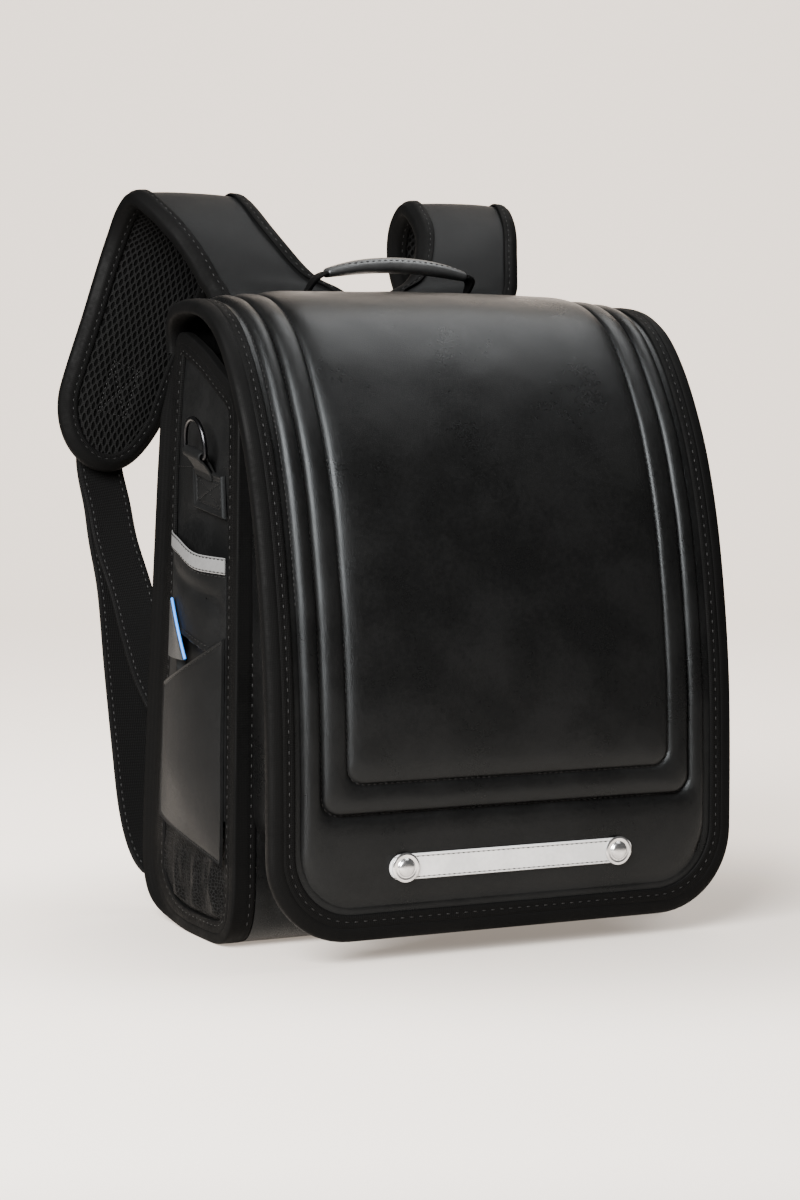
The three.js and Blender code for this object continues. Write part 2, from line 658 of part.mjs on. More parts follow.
// Leather tab that is sewn down as a flat patch below the ring and folded round its bar.
function addTab(name, side) {
  const bend = ringWire + ringPlay + tabThickness / 2;
  const flat = stack + tabThickness / 2;
  const path = [[-8.5, flat]];
  for (const turn of steps(8, 200, -85)) {
    const angle = (turn * Math.PI) / 180;
    path.push([bend * Math.sin(angle), ringPlace.out + bend * Math.cos(angle)]);
  }
  path.push([-6.5, ringPlace.out - 3.2]);
  const places = path.map(([up, out]) => new THREE.Vector2(up, out));
  const patch = (offset) => [-0.5, 0.5].map((rise) => [-0.5, 0.5].map((across) => {
    const y = patchPlace.y + across * patchWidth + patchSkew * rise * patchHeight;
    const z = patchPlace.z + rise * patchHeight + patchSkew * across * patchWidth;
    return sidePoint(side, y, z, flat + offset);
  }));
  const fold = (offset) => places.map((place, index) => {
    const before = places[Math.max(index - 1, 0)];
    const after = places[Math.min(index + 1, places.length - 1)];
    const run = after.clone().sub(before).normalize();
    return [-tabWidth / 2, tabWidth / 2].map((along) =>
      ringPoint(side, along, place.x - run.y * offset, place.y + run.x * offset));
  });
  const grid = (offset) => [...patch(offset), ...fold(offset)];
  addWall(name, grid(tabThickness / 2), grid(-tabThickness / 2), leather);
}

// Middle line of a shoulder strap, from where it is sewn to the back, over the shoulder, to its end.
// Out, back and up are shares of the strap's spread, reach and rise, width one of the strap's width.
const strapRows = [
  { out: 0.407, back: 0.377, up: 0.727, width: 1.194 },
  { out: 0.411, back: 0.358, up: 0.801, width: 1.208 },
  { out: 0.415, back: 0.439, up: 0.86, width: 1.222 },
  { out: 0.478, back: 0.465, up: 0.876, width: 1.056 },
  { out: 0.522, back: 0.494, up: 0.895, width: 0.958 },
  { out: 0.57, back: 0.554, up: 0.926, width: 0.917 },
  { out: 0.615, back: 0.627, up: 0.956, width: 0.917 },
  { out: 0.644, back: 0.713, up: 0.981, width: 0.958 },
  { out: 0.667, back: 0.822, up: 1, width: 1 },
  { out: 0.678, back: 0.924, up: 0.977, width: 1.014 },
  { out: 0.7, back: 0.981, up: 0.933, width: 1.014 },
  { out: 0.763, back: 1, up: 0.873, width: 0.972 },
  { out: 0.837, back: 1, up: 0.809, width: 0.931 },
  { out: 0.918, back: 0.997, up: 0.742, width: 0.9 },
  { out: 0.974, back: 0.99, up: 0.687, width: 0.89 },
  { out: 1.004, back: 0.981, up: 0.616, width: 0.861 },
];
const strapCurve = new THREE.CatmullRomCurve3(strapRows.map((row) =>
  new THREE.Vector3(row.out * strapSpread, row.back * strapReach, row.up * strapRise)), false, 'centripetal');
const strapSteps = 22;

// Frame of a strap at a share of its length: middle, across, outward normal and half width.
function strapFrame(share) {
  const last = strapRows.length - 1;
  const row = share * last;
  const low = strapRows[Math.min(Math.floor(row), last - 1)];
  const high = strapRows[Math.min(Math.floor(row) + 1, last)];
  const blend = row - Math.min(Math.floor(row), last - 1);
  const middle = strapCurve.getPoint(share);
  const run = strapCurve.getTangent(share);
  const across = new THREE.Vector3(1, 0, 0);
  const normal = new THREE.Vector3().crossVectors(run, across).normalize();
  const slant = ease((share - 0.5) / 0.12);
  across.addScaledVector(run, -run.x * slant).normalize();
  const half = (strapWidth / 2) * THREE.MathUtils.lerp(low.width, high.width, blend);
  return { middle, run, across, normal, half };
}

// Shares along a strap with the width left of its round end.
const strapLength = strapCurve.getLength();
const roundShare = (0.44 * strapWidth) / strapLength;
const strapStations = [
  ...steps(strapSteps - 5, 0, 1 - roundShare).map((share) => ({ share, left: 1 })),
  ...[20, 40, 58, 74].map((degrees) => {
    const turn = (degrees * Math.PI) / 180;
    return { share: 1 - roundShare * (1 - Math.sin(turn)), left: Math.cos(turn) };
  }),
];
const mirrored = (point, side) => new THREE.Vector3(side * point.x, point.y, point.z);

function addStrapPad(name, side) {
  const columns = [-1, -0.72, 0, 0.72, 1];
  const grid = (sign) => strapStations.map(({ share, left }) => {
    const frame = strapFrame(share);
    return columns.map((column) => {
      const swell = (1 - Math.abs(column) ** 2.5) * left ** 3;
      const thickness = strapEdge + (strapThickness - strapEdge) * swell;
      const point = frame.middle.clone();
      point.addScaledVector(frame.across, column * frame.half * left);
      point.addScaledVector(frame.normal, (sign * thickness) / 2);
      return mirrored(point, side);
    });
  });
  addWall(name, grid(1), grid(-1), leather);
}

// Tape folded round the edge of a strap pad, from its root round the end and back.
function addStrapBinding(name, side) {
  const rim = [];
  for (const hand of [-1, 1]) {
    const leg = strapStations.slice(2).map(({ share, left }) => {
      const frame = strapFrame(share);
      const point = frame.middle.clone().addScaledVector(frame.across, hand * frame.half * left);
      const out = frame.across.clone().multiplyScalar(hand * left);
      out.addScaledVector(frame.run, Math.sqrt(1 - left ** 2)).normalize();
      return { point, out, normal: frame.normal };
    });
    rim.push(...(hand < 0 ? leg : leg.reverse()));
  }
  const edge = strapEdge / 2;
  const deep = edge + 0.36 * (strapThickness - strapEdge);
  const over = clearance + strapTapeThickness;
  const grid = (section) => rim.map(({ point, out, normal }) => section.map(([inset, lift]) => {
    const place = point.clone().addScaledVector(out, -inset).addScaledVector(normal, lift);
    return mirrored(place, side);
  }));
  const outer = [[strapTape, deep + over], [-over, edge + 0.2], [-over, -edge - 0.2], [strapTape, -deep - over]];
  const inner = [[strapTape, deep + clearance], [-clearance, edge + clearance],
    [-clearance, -edge - clearance], [strapTape, -deep - clearance]];
  addWall(name, grid(outer), grid(inner), tape);
}

// Flat webbing along a line of points, its width level.
function addWeb(name, side, points) {
  const curve = new THREE.CatmullRomCurve3(points, false, 'centripetal');
  const grid = (sign) => steps(18).map((share) => {
    const run = curve.getTangent(share);
    const across = new THREE.Vector3(1, 0, 0).addScaledVector(run, -run.x).normalize();
    const normal = new THREE.Vector3().crossVectors(across, run);
    return [-1, 1].map((hand) => {
      const point = curve.getPoint(share);
      point.addScaledVector(across, (hand * webWidth) / 2).addScaledVector(normal, (sign * webThickness) / 2);
      return mirrored(point, side);
    });
  });
  addWall(name, grid(1), grid(-1), webbing);
}

// Two layers of webbing sewn behind the pad's end: one to the back panel, one to its lower corner.
function addLowerStraps(tag, side) {
  const layer = webThickness + clearance;
  const onPad = (share, lift) => {
    const frame = strapFrame(share);
    return frame.middle.clone().addScaledVector(frame.normal, -strapThickness / 2 - webThickness / 2 - lift);
  };
  const rimLift = clearance + strapTapeThickness + 0.5;
  const end = onPad(1, 0);
  const at = (out, back, up) => new THREE.Vector3(strapSpread * out, back, strapRise * up);
  const seat = (out, up) =>
    backFace(strapRise * up, (strapSpread * out) / halfWidth(0)) + clearance + webThickness / 2;
  addWeb(`strap_tail_${tag}`, side, [
    onPad(0.86, clearance), onPad(0.93, clearance + 0.5), onPad(0.985, rimLift),
    at(0.965, end.y - 3, 0.56), at(0.955, end.y - 9, 0.515), at(0.915, end.y - 21, 0.444),
    at(0.9, end.y - 36, 0.378), at(0.875, end.y - 50, 0.317), at(0.83, end.y - 61, 0.272),
    at(0.765, end.y - 70, 0.225), at(0.71, seat(0.71, 0.17) + 1, 0.17), at(0.69, seat(0.69, 0.13) + 0.3, 0.13),
  ]);
  addWeb(`lower_strap_${tag}`, side, [
    onPad(0.86, clearance + layer), onPad(0.93, clearance + 0.5 + layer), onPad(0.985, rimLift + layer),
    at(0.97, end.y + 0.6, 0.56), at(0.965, end.y - 3, 0.52), at(0.945, end.y - 11, 0.449),
    at(0.95, end.y - 25, 0.331), at(0.96, end.y - 42, 0.217), at(0.963, end.y - 54, 0.137),
    at(0.95, end.y - 63, 0.09), at(0.925, end.y - 72, 0.062), at(0.89, bodyBack + 14, 0.053),
    at(0.89, bodyBack + 3.3, 0.057),
  ]);
}

// Yoke that holds the straps and the handle to the top of the back.
function addYoke() {
  const grid = (more) => [-1, 1].map((side) => steps(4).map((share) => {
    const z = THREE.MathUtils.lerp(yokeFoot, yokeTop, share);
    return new THREE.Vector3((side * yokeWidth) / 2, backFace(z) + clearance + more, z);
  }));
  addWall('yoke', grid(yokeThickness), grid(0), leather);
}

// Arched leather grip on a length of webbing.
function addHandle() {
  const rings = steps(12, -1, 1).map((share) => {
    const rise = gripArch * (1 - share ** 2);
    const thick = THREE.MathUtils.lerp(gripThickness, 0.6 * gripThickness, Math.abs(share) ** 3);
    return steps(8).slice(1).map((part) => {
      const turn = 2 * Math.PI * part;
      const y = gripEnds.y + (gripWidth / 2) * Math.cos(turn);
      return new THREE.Vector3((share * gripLength) / 2, y, gripEnds.z + rise + (thick / 2) * Math.sin(turn));
    });
  });
  addBar('handle_grip', rings, leather);
  for (const [tag, side] of [['left', -1], ['right', 1]]) {
    const top = gripLength / 2 + clearance;
    const seat = backFace(yokeTop) + clearance + yokeThickness / 2;
    const path = [
      { x: top, z: gripEnds.z, y: gripEnds.y, half: handleWeb / 2 },
      { x: top + 4, z: gripEnds.z - 2, y: gripEnds.y + 1, half: handleWeb / 2 },
      { x: top + 6, z: gripEnds.z - 9, y: gripEnds.y + 9, half: 0.3 * handleWeb },
      { x: top + 7, z: gripEnds.z - 18, y: seat - 2.5, half: yokeThickness / 2 + 0.7 },
      { x: top + 8, z: yokeTop + clearance, y: seat, half: yokeThickness / 2 },
    ];
    const grid = (sign) => path.map((place, index) => {
      const before = path[Math.max(index - 1, 0)];
      const after = path[Math.min(index + 1, path.length - 1)];
      const run = new THREE.Vector2(after.x - before.x, after.z - before.z).normalize();
      if (index === 0) run.set(1, 0);
      if (index === path.length - 1) run.set(0, -1);
      const thin = (sign * handleWebThickness) / 2;
      return [-place.half, place.half].map((y) =>
        new THREE.Vector3(side * (place.x - run.y * thin), place.y + y, place.z + run.x * thin));
    });
    addWall(`handle_webbing_${tag}`, grid(1), grid(-1), webbing);
  }
}

addBackPanel();
addBodyWall();
addFlap();
addFlapBinding();
addStrip();
addFrontPocket();
addMagnet();
addYoke();
addHandle();
for (const [tag, side] of [['left', -1], ['right', 1]]) {
  addSidePanel(`side_panel_${tag}`, side);
  addSideBinding(`side_binding_${tag}`, side);
  addRivet(`rivet_${tag}`, side);
  addSidePockets(tag, side);
  addNet(tag, side);
  addLip(tag, side);
  addRing(`d_ring_${tag}`, side);
  addTab(`ring_tab_${tag}`, side);
  addStrapPad(`strap_pad_${tag}`, side);
  addStrapBinding(`strap_binding_${tag}`, side);
  addLowerStraps(tag, side);
}

export default group;
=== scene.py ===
"""School backpack: stiff box body under a long padded flap, dressed round the fixed frame.

All lengths in this script are millimetres until a mesh is made; the flap faces -Y, z = 0 is the ground.
"""
import math

import bmesh
import bpy
import numpy as np
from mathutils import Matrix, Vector


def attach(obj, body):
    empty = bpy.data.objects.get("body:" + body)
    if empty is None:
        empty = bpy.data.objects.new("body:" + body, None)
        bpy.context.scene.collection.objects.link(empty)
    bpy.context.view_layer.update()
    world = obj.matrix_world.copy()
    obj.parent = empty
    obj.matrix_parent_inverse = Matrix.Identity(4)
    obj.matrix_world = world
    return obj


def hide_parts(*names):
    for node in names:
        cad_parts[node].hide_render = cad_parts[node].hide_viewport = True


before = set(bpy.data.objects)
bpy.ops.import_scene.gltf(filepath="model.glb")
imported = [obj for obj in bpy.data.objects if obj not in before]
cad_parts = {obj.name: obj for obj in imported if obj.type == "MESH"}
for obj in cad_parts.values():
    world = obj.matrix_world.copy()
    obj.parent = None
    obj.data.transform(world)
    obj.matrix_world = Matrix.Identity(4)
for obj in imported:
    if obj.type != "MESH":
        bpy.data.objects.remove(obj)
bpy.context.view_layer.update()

METRE = 0.001

# Sizes shared with the solids
BODY_WIDTH = 272
BODY_HEIGHT = 332.5
BODY_FRONT = 53.5
BODY_BACK = 66
BODY_TAPER = 5
WALL = 2.2
CLEARANCE = 0.3
WALL_TOP = 296
CREASE_PLACE = 113
BACK_PAD = 10
BACK_PAD_EDGE = 5
BACK_PAD_TOP = 324
BACK_PAD_FOOT = 27
SEAM_TAPE = 11
SEAM_TAPE_MORE = 5
TAPE = 1.9
SEAM_FLANGE = 4.5
SEAM_LIP = 1.5
MOUTH_LIP = 3
FLAP_WIDTH = 280
FLAP_REACH = 113
FLAP_HEIGHT = 351.5
FLAP_FOOT = 14
FLAP_THICKNESS = 5
FLAP_CORNER = 45
FLAP_TAPE = 13
FLAP_TAPE_THICKNESS = 1.2
STITCH_INSET = 3.5
CHANNEL_INSET = 28
CHANNEL_FOOT = 66
RIB_WIDTH = 14
RIB_FOOT_WIDTH = 16
HEM_NARROWING = 6
HEM_LENGTH = 45
STRIP_LENGTH = 134
STRIP_WIDTH = 14
STRIP_HEIGHT = 51
STRIP_THICKNESS = 1.4
RIVET_SPACING = 130
RIVET_RADIUS = 7.9
DOME_RADIUS = 4.8
POCKET_WIDTH = 252
POCKET_TOP = 240
POCKET_FOOT = 46
POCKET_CORNER = 32
POCKET_GAP = 9.5
SHEET = 1.8
SIDE_BULGE = 8
HEM_WIDTH = 9
PIPING_RADIUS = 0.9
STACK = 0.7
RING_WIRE = 1.4
RING_WIDTH = 32.5
RING_HEIGHT = 22.4
RING_LEAN = 6
RING_TILT = 9.5
RING_Y = -10.8
RING_Z = 268.7
RING_OUT = 8.6
TAB_WIDTH = 24.5
TAB = 1.5
PATCH_WIDTH = 43
PATCH_HEIGHT = 23.5
PATCH_SKEW = 0.13
PATCH_Y = -14.5
PATCH_Z = 248
STRAP_WIDTH = 72
STRAP_THICKNESS = 10
STRAP_EDGE = 6
STRAP_TAPE = 9
STRAP_TAPE_THICKNESS = 1.3
STRAP_RISE = 419
STRAP_REACH = 157
STRAP_SPREAD = 135
WEB_WIDTH = 28
WEB_THICKNESS = 2.4
YOKE_WIDTH = 214
YOKE_FOOT = 290
YOKE_TOP = 338
YOKE_THICKNESS = 2.5
GRIP_LENGTH = 90
GRIP_WIDTH = 15
GRIP_THICKNESS = 9
GRIP_Y = 28
GRIP_Z = 371.5
GRIP_ARCH = 5.5
HANDLE_WEB = 12
HANDLE_WEB_THICKNESS = 2.2
SIDES = (("left", -1), ("right", 1))


# Curves and tables

def ease(share):
    share = np.clip(share, 0, 1)
    return share * share * (3 - 2 * share)


def mix(low, high, share):
    return low + (high - low) * share


def bump(distance, width):
    return np.exp(-(np.asarray(distance, float) / width) ** 2)


def spline(points, count):
    """Even Catmull-Rom line through the points, its ends repeated."""
    points = np.asarray(points, float)
    padded = np.vstack([points[:1], points, points[-1:]])
    place = np.linspace(0, len(points) - 1, count)
    low = np.minimum(place.astype(int), len(points) - 2)
    w = (place - low)[:, None]
    p0, p1, p2, p3 = (padded[low + step] for step in range(4))
    v0 = (p2 - p0) / 2
    v1 = (p3 - p1) / 2
    return (2 * p1 - 2 * p2 + v0 + v1) * w ** 3 + (3 * p2 - 3 * p1 - 2 * v0 - v1) * w ** 2 + v0 * w + p1


def loose_spline(points, places):
    """Centripetal Catmull-Rom line through the points, read at places from 0 to 1."""
    points = np.asarray(points, float)
    padded = np.vstack([2 * points[0] - points[1], points, 2 * points[-1] - points[-2]])
    place = np.asarray(places, float) * (len(points) - 1)
    low = np.clip(place.astype(int), 0, len(points) - 2)
    w = (place - low)[:, None]
    p0, p1, p2, p3 = (padded[low + step] for step in range(4))
    d0, d1, d2 = (np.maximum(np.linalg.norm(b - a, axis=1), 1e-4)[:, None] ** 0.5
                  for a, b in ((p0, p1), (p1, p2), (p2, p3)))
    t1 = ((p1 - p0) / d0 - (p2 - p0) / (d0 + d1) + (p2 - p1) / d1) * d1
    t2 = ((p2 - p1) / d1 - (p3 - p1) / (d1 + d2) + (p3 - p2) / d2) * d1
    return p1 + t1 * w + (3 * p2 - 3 * p1 - 2 * t1 - t2) * w ** 2 + (2 * p1 - 2 * p2 + t1 + t2) * w ** 3


def soften(values, width, closed=False):
    """Gaussian smoothing down the rows; an open line keeps its ends and its end slopes."""
    values = np.asarray(values, float)
    reach = int(3 * width) + 1
    weights = np.exp(-0.5 * (np.arange(-reach, reach + 1) / width) ** 2)
    weights /= weights.sum()
    flat = values.reshape(len(values), -1)
    if closed:
        padded = np.vstack([flat[-reach:], flat, flat[:reach]])
    else:
        padded = np.vstack([2 * flat[0] - flat[reach:0:-1], flat, 2 * flat[-1] - flat[-2:-reach - 2:-1]])
    out = sum(w * padded[i:i + len(flat)] for i, w in enumerate(weights))
    return out.reshape(values.shape)


def lengths(points):
    return np.concatenate([[0], np.cumsum(np.linalg.norm(np.diff(points, axis=0), axis=1))])


def even(points, count):
    """The same line in even steps."""
    run = lengths(points)
    return at_lengths(points, run, np.linspace(0, run[-1], count))


def at_lengths(points, run, places):
    return np.stack([np.interp(places, run, points[:, axis]) for axis in range(points.shape[1])], axis=1)


def unit(vectors):
    return vectors / np.maximum(np.linalg.norm(vectors, axis=-1, keepdims=True), 1e-9)


def together(*parts):
    """Points from their parts, which may be tables, rows or single values."""
    return np.stack(np.broadcast_arrays(*parts), axis=-1)


def ripple(*places, seed=0):
    """Smooth uneven wave between -1 and 1 over a surface, the same on each run."""
    rng = np.random.default_rng(seed)
    total = 0
    for _ in range(7):
        wave = rng.uniform(-1, 1, len(places))
        wave *= rng.uniform(0.03, 0.13) / max(np.linalg.norm(wave), 0.2)
        total = total + np.sin(sum(w * p for w, p in zip(wave, places)) + rng.uniform(0, 6.28))
    return total / 4


# Meshes

def piece(name, shape, material, stands_for=(), body="bag", uv=None, sharp=50):
    """One named piece from points in millimetres and faces, its faces turned outwards."""
    points, faces = np.asarray(shape[0], float) * METRE, shape[1]
    mesh = bpy.data.meshes.new(name)
    mesh.from_pydata(points.tolist(), [], [list(map(int, face)) for face in faces])
    if uv is not None:
        corner = np.empty(len(mesh.loops), int)
        mesh.loops.foreach_get("vertex_index", corner)
        layer = mesh.uv_layers.new(name="UVMap")
        layer.data.foreach_set("uv", (np.asarray(uv, float) * METRE)[corner].ravel())
    work = bmesh.new()
    work.from_mesh(mesh)
    bmesh.ops.remove_doubles(work, verts=work.verts, dist=2e-6)
    loose = [edge for edge in work.edges if edge.calc_length() < 1e-7]
    if loose:
        bmesh.ops.dissolve_degenerate(work, edges=loose, dist=1e-7)
    if work.calc_volume(signed=True) < 0:
        bmesh.ops.reverse_faces(work, faces=work.faces)
    work.to_mesh(mesh)
    work.free()
    mesh.polygons.foreach_set("use_smooth", [True] * len(mesh.polygons))
    if sharp:
        mesh.set_sharp_from_angle(angle=math.radians(sharp))
    mesh.materials.append(material)
    made = bpy.data.objects.new(name, mesh)
    bpy.context.scene.collection.objects.link(made)
    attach(made, body)
    if stands_for:
        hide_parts(*stands_for)
    return made


def wall(outer, inner, loop=False, far_rim=True):
    """Points and faces of a wall between two grids with the same rows and columns."""
    outer = np.asarray(outer, float)
    inner = np.asarray(inner, float)
    rows, columns = outer.shape[:2]
    index = np.arange(rows * columns).reshape(rows, columns)
    if loop:
        index = np.vstack([index, index[:1]])
    back = index + rows * columns
    quads = [
        np.stack([index[:-1, :-1], index[1:, :-1], index[1:, 1:], index[:-1, 1:]], -1).reshape(-1, 4),
        np.stack([back[:-1, :-1], back[:-1, 1:], back[1:, 1:], back[1:, :-1]], -1).reshape(-1, 4),
        np.stack([index[:-1, 0], back[:-1, 0], back[1:, 0], index[1:, 0]], -1),
        np.stack([index[:-1, -1], index[1:, -1], back[1:, -1], back[:-1, -1]], -1),
    ]
    if not loop:
        quads.append(np.stack([index[0, :-1], index[0, 1:], back[0, 1:], back[0, :-1]], -1))
        if far_rim:
            quads.append(np.stack([index[-1, 1:], index[-1, :-1], back[-1, :-1], back[-1, 1:]], -1))
    return np.vstack([outer.reshape(-1, 3), inner.reshape(-1, 3)]), np.vstack(quads)


def tube(rings, closed=False):
    """Points and faces of a bar through rings of points."""
    rings = np.asarray(rings, float)
    count, sides = rings.shape[:2]
    index = np.arange(count * sides).reshape(count, sides)
    if closed:
        index = np.vstack([index, index[:1]])
    index = np.hstack([index, index[:, :1]])
    quads = np.stack([index[:-1, :-1], index[:-1, 1:], index[1:, 1:], index[1:, :-1]], -1)
    faces = quads.reshape(-1, 4).tolist()
    if not closed:
        faces.append(index[0, :-1][::-1].tolist())
        faces.append(index[-1, :-1].tolist())
    return rings.reshape(-1, 3), faces


def grid_uv(along, across, layers=2):
    """Millimetres along and across for each point of a wall."""
    pair = together(along, across).reshape(-1, 2)
    return np.vstack([pair] * layers)


# Outline of the body's sides: columns are the shares of the reach to the back, to the front, of the height

SIDE_ROWS = np.array([
    (0.3, 0, 0), (0.55, 0, 0.008), (0.73, 0, 0.02), (0.88, 0, 0.038), (0.97, 0, 0.06), (0.995, 0, 0.073),
    (1, 0, 0.11), (0.985, 0, 0.19), (0.91, 0, 0.37), (0.82, 0, 0.55), (0.715, 0, 0.755), (0.65, 0, 0.86),
    (0.565, 0, 0.965), (0.54, 0, 0.99), (0.48, 0, 1), (0.36, 0, 0.998), (0.16, 0, 0.985), (0, 0.12, 0.965),
    (0, 0.48, 0.935), (0, 0.8, 0.91), (0, 0.95, 0.89), (0, 1, 0.862), (0, 1, 0.6), (0, 1, 0.3),
    (0, 1, 0.068), (0, 0.96, 0.036), (0, 0.86, 0.012), (0, 0.7, 0),
])
OUTLINE_LIFT = CLEARANCE + TAPE
side_corners = np.stack([SIDE_ROWS[:, 0] * BODY_BACK - SIDE_ROWS[:, 1] * BODY_FRONT,
                         OUTLINE_LIFT + SIDE_ROWS[:, 2] * BODY_HEIGHT], axis=1)


def outward(corners):
    first = unit(corners - np.roll(corners, 1, axis=0))
    second = unit(np.roll(corners, -1, axis=0) - corners)
    normal = unit(np.stack([first[:, 1] + second[:, 1], -first[:, 0] - second[:, 0]], axis=1))
    return normal / (normal[:, :1] * first[:, 1:] - normal[:, 1:] * first[:, :1])


corner_normals = outward(side_corners)
corner_steps = np.maximum((np.linalg.norm(np.roll(side_corners, -1, axis=0) - side_corners, axis=1) / 2.5), 1)
corner_steps = corner_steps.round().astype(int)


def fill_side(values):
    """Values at the outline's corners, filled in between."""
    values = np.asarray(values, float)
    values = values.reshape(len(values), -1)
    after = np.roll(values, -1, axis=0)
    return np.vstack([mix(values[i], after[i], share) for i, count in enumerate(corner_steps)
                      for share in (np.arange(count) / count)[:, None]])


near_ground = ease((60 - fill_side(side_corners)[:, 1:]) / 25)


def round_side(values):
    """Values along the outline, rounded off a little at its top corners and more near the ground."""
    filled = fill_side(values)
    return mix(soften(filled, 1.0, closed=True), soften(filled, 4.0, closed=True), near_ground)


def rim(offset):
    """The side's outline moved outwards, in its own plane, by an offset that may differ along it."""
    offset = np.broadcast_to(np.asarray(offset, float), (len(side_corners),))
    return round_side(side_corners + corner_normals * offset[:, None])


side_line = rim(0)
side_turn = unit(round_side(corner_normals))
low_at = int(np.argmin(side_line[:, 1]))
rolled = np.roll(side_line, -low_at, axis=0)
peak = int(np.argmax(rolled[:, 1]))
rear_run = rolled[:peak + 1]
front_run = rolled[peak:][::-1]


def rear_at(z):
    return np.interp(z, rear_run[:, 1], rear_run[:, 0])


def front_at(z):
    order = np.argsort(front_run[:, 1])
    return np.interp(z, front_run[order, 1], front_run[order, 0])


def half_width(z):
    return BODY_WIDTH / 2 - BODY_TAPER * np.asarray(z, float) / BODY_HEIGHT


def rear_tape(z):
    """Width of the tape beside the back: it grows between two heights of the outline."""
    share = (np.asarray(z, float) - OUTLINE_LIFT) / BODY_HEIGHT
    return SEAM_TAPE + SEAM_TAPE_MORE * np.interp(share, (0.55, 0.755), (1, 0))


# How much wider the tape is at each corner of the outline
tape_more = ease(corner_normals[:, 0] * 1.4) * (rear_tape(side_corners[:, 1]) - SEAM_TAPE)


def side_point(side, y, z, out):
    x = side * (half_width(z) + out)
    return together(x, y, z)


def sew_side(side, y, z, out, row="dark_side_stitches"):
    sew(row, side_point(side, y, z, out), (side, 0, 0))


def back_face(z, share=0):
    """The back panel's outer face at a height and at a share of its half width."""
    height = np.clip(z, BACK_PAD_FOOT, BACK_PAD_TOP)
    up = (height - BACK_PAD_FOOT) / (BACK_PAD_TOP - BACK_PAD_FOOT)
    swell = np.minimum(1, 6 * np.minimum(up, 1 - up) + (up > 0.5))
    edge = 1 - np.minimum(np.abs(share), 1) ** 6
    return rear_at(height) + CLEARANCE + BACK_PAD_EDGE + (BACK_PAD - BACK_PAD_EDGE) * edge * swell


# Profile of the flap's edge: columns are the share of its reach forward and of its height

FLAP_ROWS = np.array([
    (-0.416, 0.926), (-0.411, 0.945), (-0.373, 0.97), (-0.283, 0.99), (-0.133, 1), (0.044, 1), (0.221, 0.987),
    (0.389, 0.956), (0.531, 0.906), (0.655, 0.842), (0.77, 0.762), (0.867, 0.66), (0.938, 0.541),
    (0.985, 0.413), (1, 0.285), (1, 0.15), (1, FLAP_FOOT / FLAP_HEIGHT),
])
flap_line = spline(FLAP_ROWS * (-FLAP_REACH, FLAP_HEIGHT), 2400)
flap_run = lengths(flap_line)
FLAP_LENGTH = flap_run[-1]
flap_slope = soften(unit(np.gradient(flap_line, axis=0)), 40)


def flap_point(x, along, lift):
    """A point on the flap: across, along from the rear hem, and out of its edge profile."""
    x, along, lift = np.broadcast_arrays(*(np.asarray(value, float) for value in (x, along, lift)))
    place = np.clip(along, 0, FLAP_LENGTH)
    y, z, run_y, run_z = (np.interp(place, flap_run, line)
                          for line in (flap_line[:, 0], flap_line[:, 1], flap_slope[:, 0], flap_slope[:, 1]))
    narrowing = 1 - (2 * HEM_NARROWING / FLAP_WIDTH) * (1 - ease(along / HEM_LENGTH))
    past = along - place
    y = y + run_z * lift + run_y * past
    z = z - run_y * lift + run_z * past
    return np.stack([x * narrowing, y, z], axis=-1)


def flap_normal(along):
    place = np.clip(along, 0, FLAP_LENGTH)
    run_y, run_z = (np.interp(place, flap_run, flap_slope[:, axis]) for axis in (0, 1))
    return np.stack([np.zeros_like(run_y), run_z, -run_y], axis=-1)


def u_line(half, length, radius, leg=130, turn=14, foot=46):
    """Points (across, along) of a U whose legs run from the open end round its lower corners."""
    radius = max(0.0, min(radius, half))
    down = np.stack([np.full(leg, -half), np.linspace(0, length - radius, leg)], axis=1)
    angle = np.linspace(0, math.pi / 2, turn + 1)[1:]
    bend = np.stack([-half + radius * (1 - np.cos(angle)), length - radius + radius * np.sin(angle)], axis=1)
    left = np.vstack([down, bend])
    middle = np.stack([np.linspace(-1, 1, foot + 2)[1:-1] * (half - radius), np.full(foot, length)], axis=1)
    return np.vstack([left, middle, (left * (-1, 1))[::-1]])


# Columns: inset from the flap's side, height over its foot where the line crosses below
LINE_PAIRS = np.array([
    (0, 0), (FLAP_TAPE, FLAP_TAPE), (FLAP_TAPE + 4, FLAP_TAPE + 4), (CHANNEL_INSET - 5, CHANNEL_FOOT - 7),
    (CHANNEL_INSET, CHANNEL_FOOT), (CHANNEL_INSET + RIB_WIDTH, CHANNEL_FOOT + RIB_FOOT_WIDTH),
    (CHANNEL_INSET + 3 * RIB_WIDTH, CHANNEL_FOOT + 3 * RIB_FOOT_WIDTH),
    (FLAP_WIDTH / 2, CHANNEL_FOOT + 7 * RIB_FOOT_WIDTH),
])
SEAM_INSET = FLAP_TAPE + 4
INNER_CHANNEL = CHANNEL_INSET + RIB_WIDTH


def flap_foot(inset):
    return np.interp(inset, LINE_PAIRS[:, 0], LINE_PAIRS[:, 1])


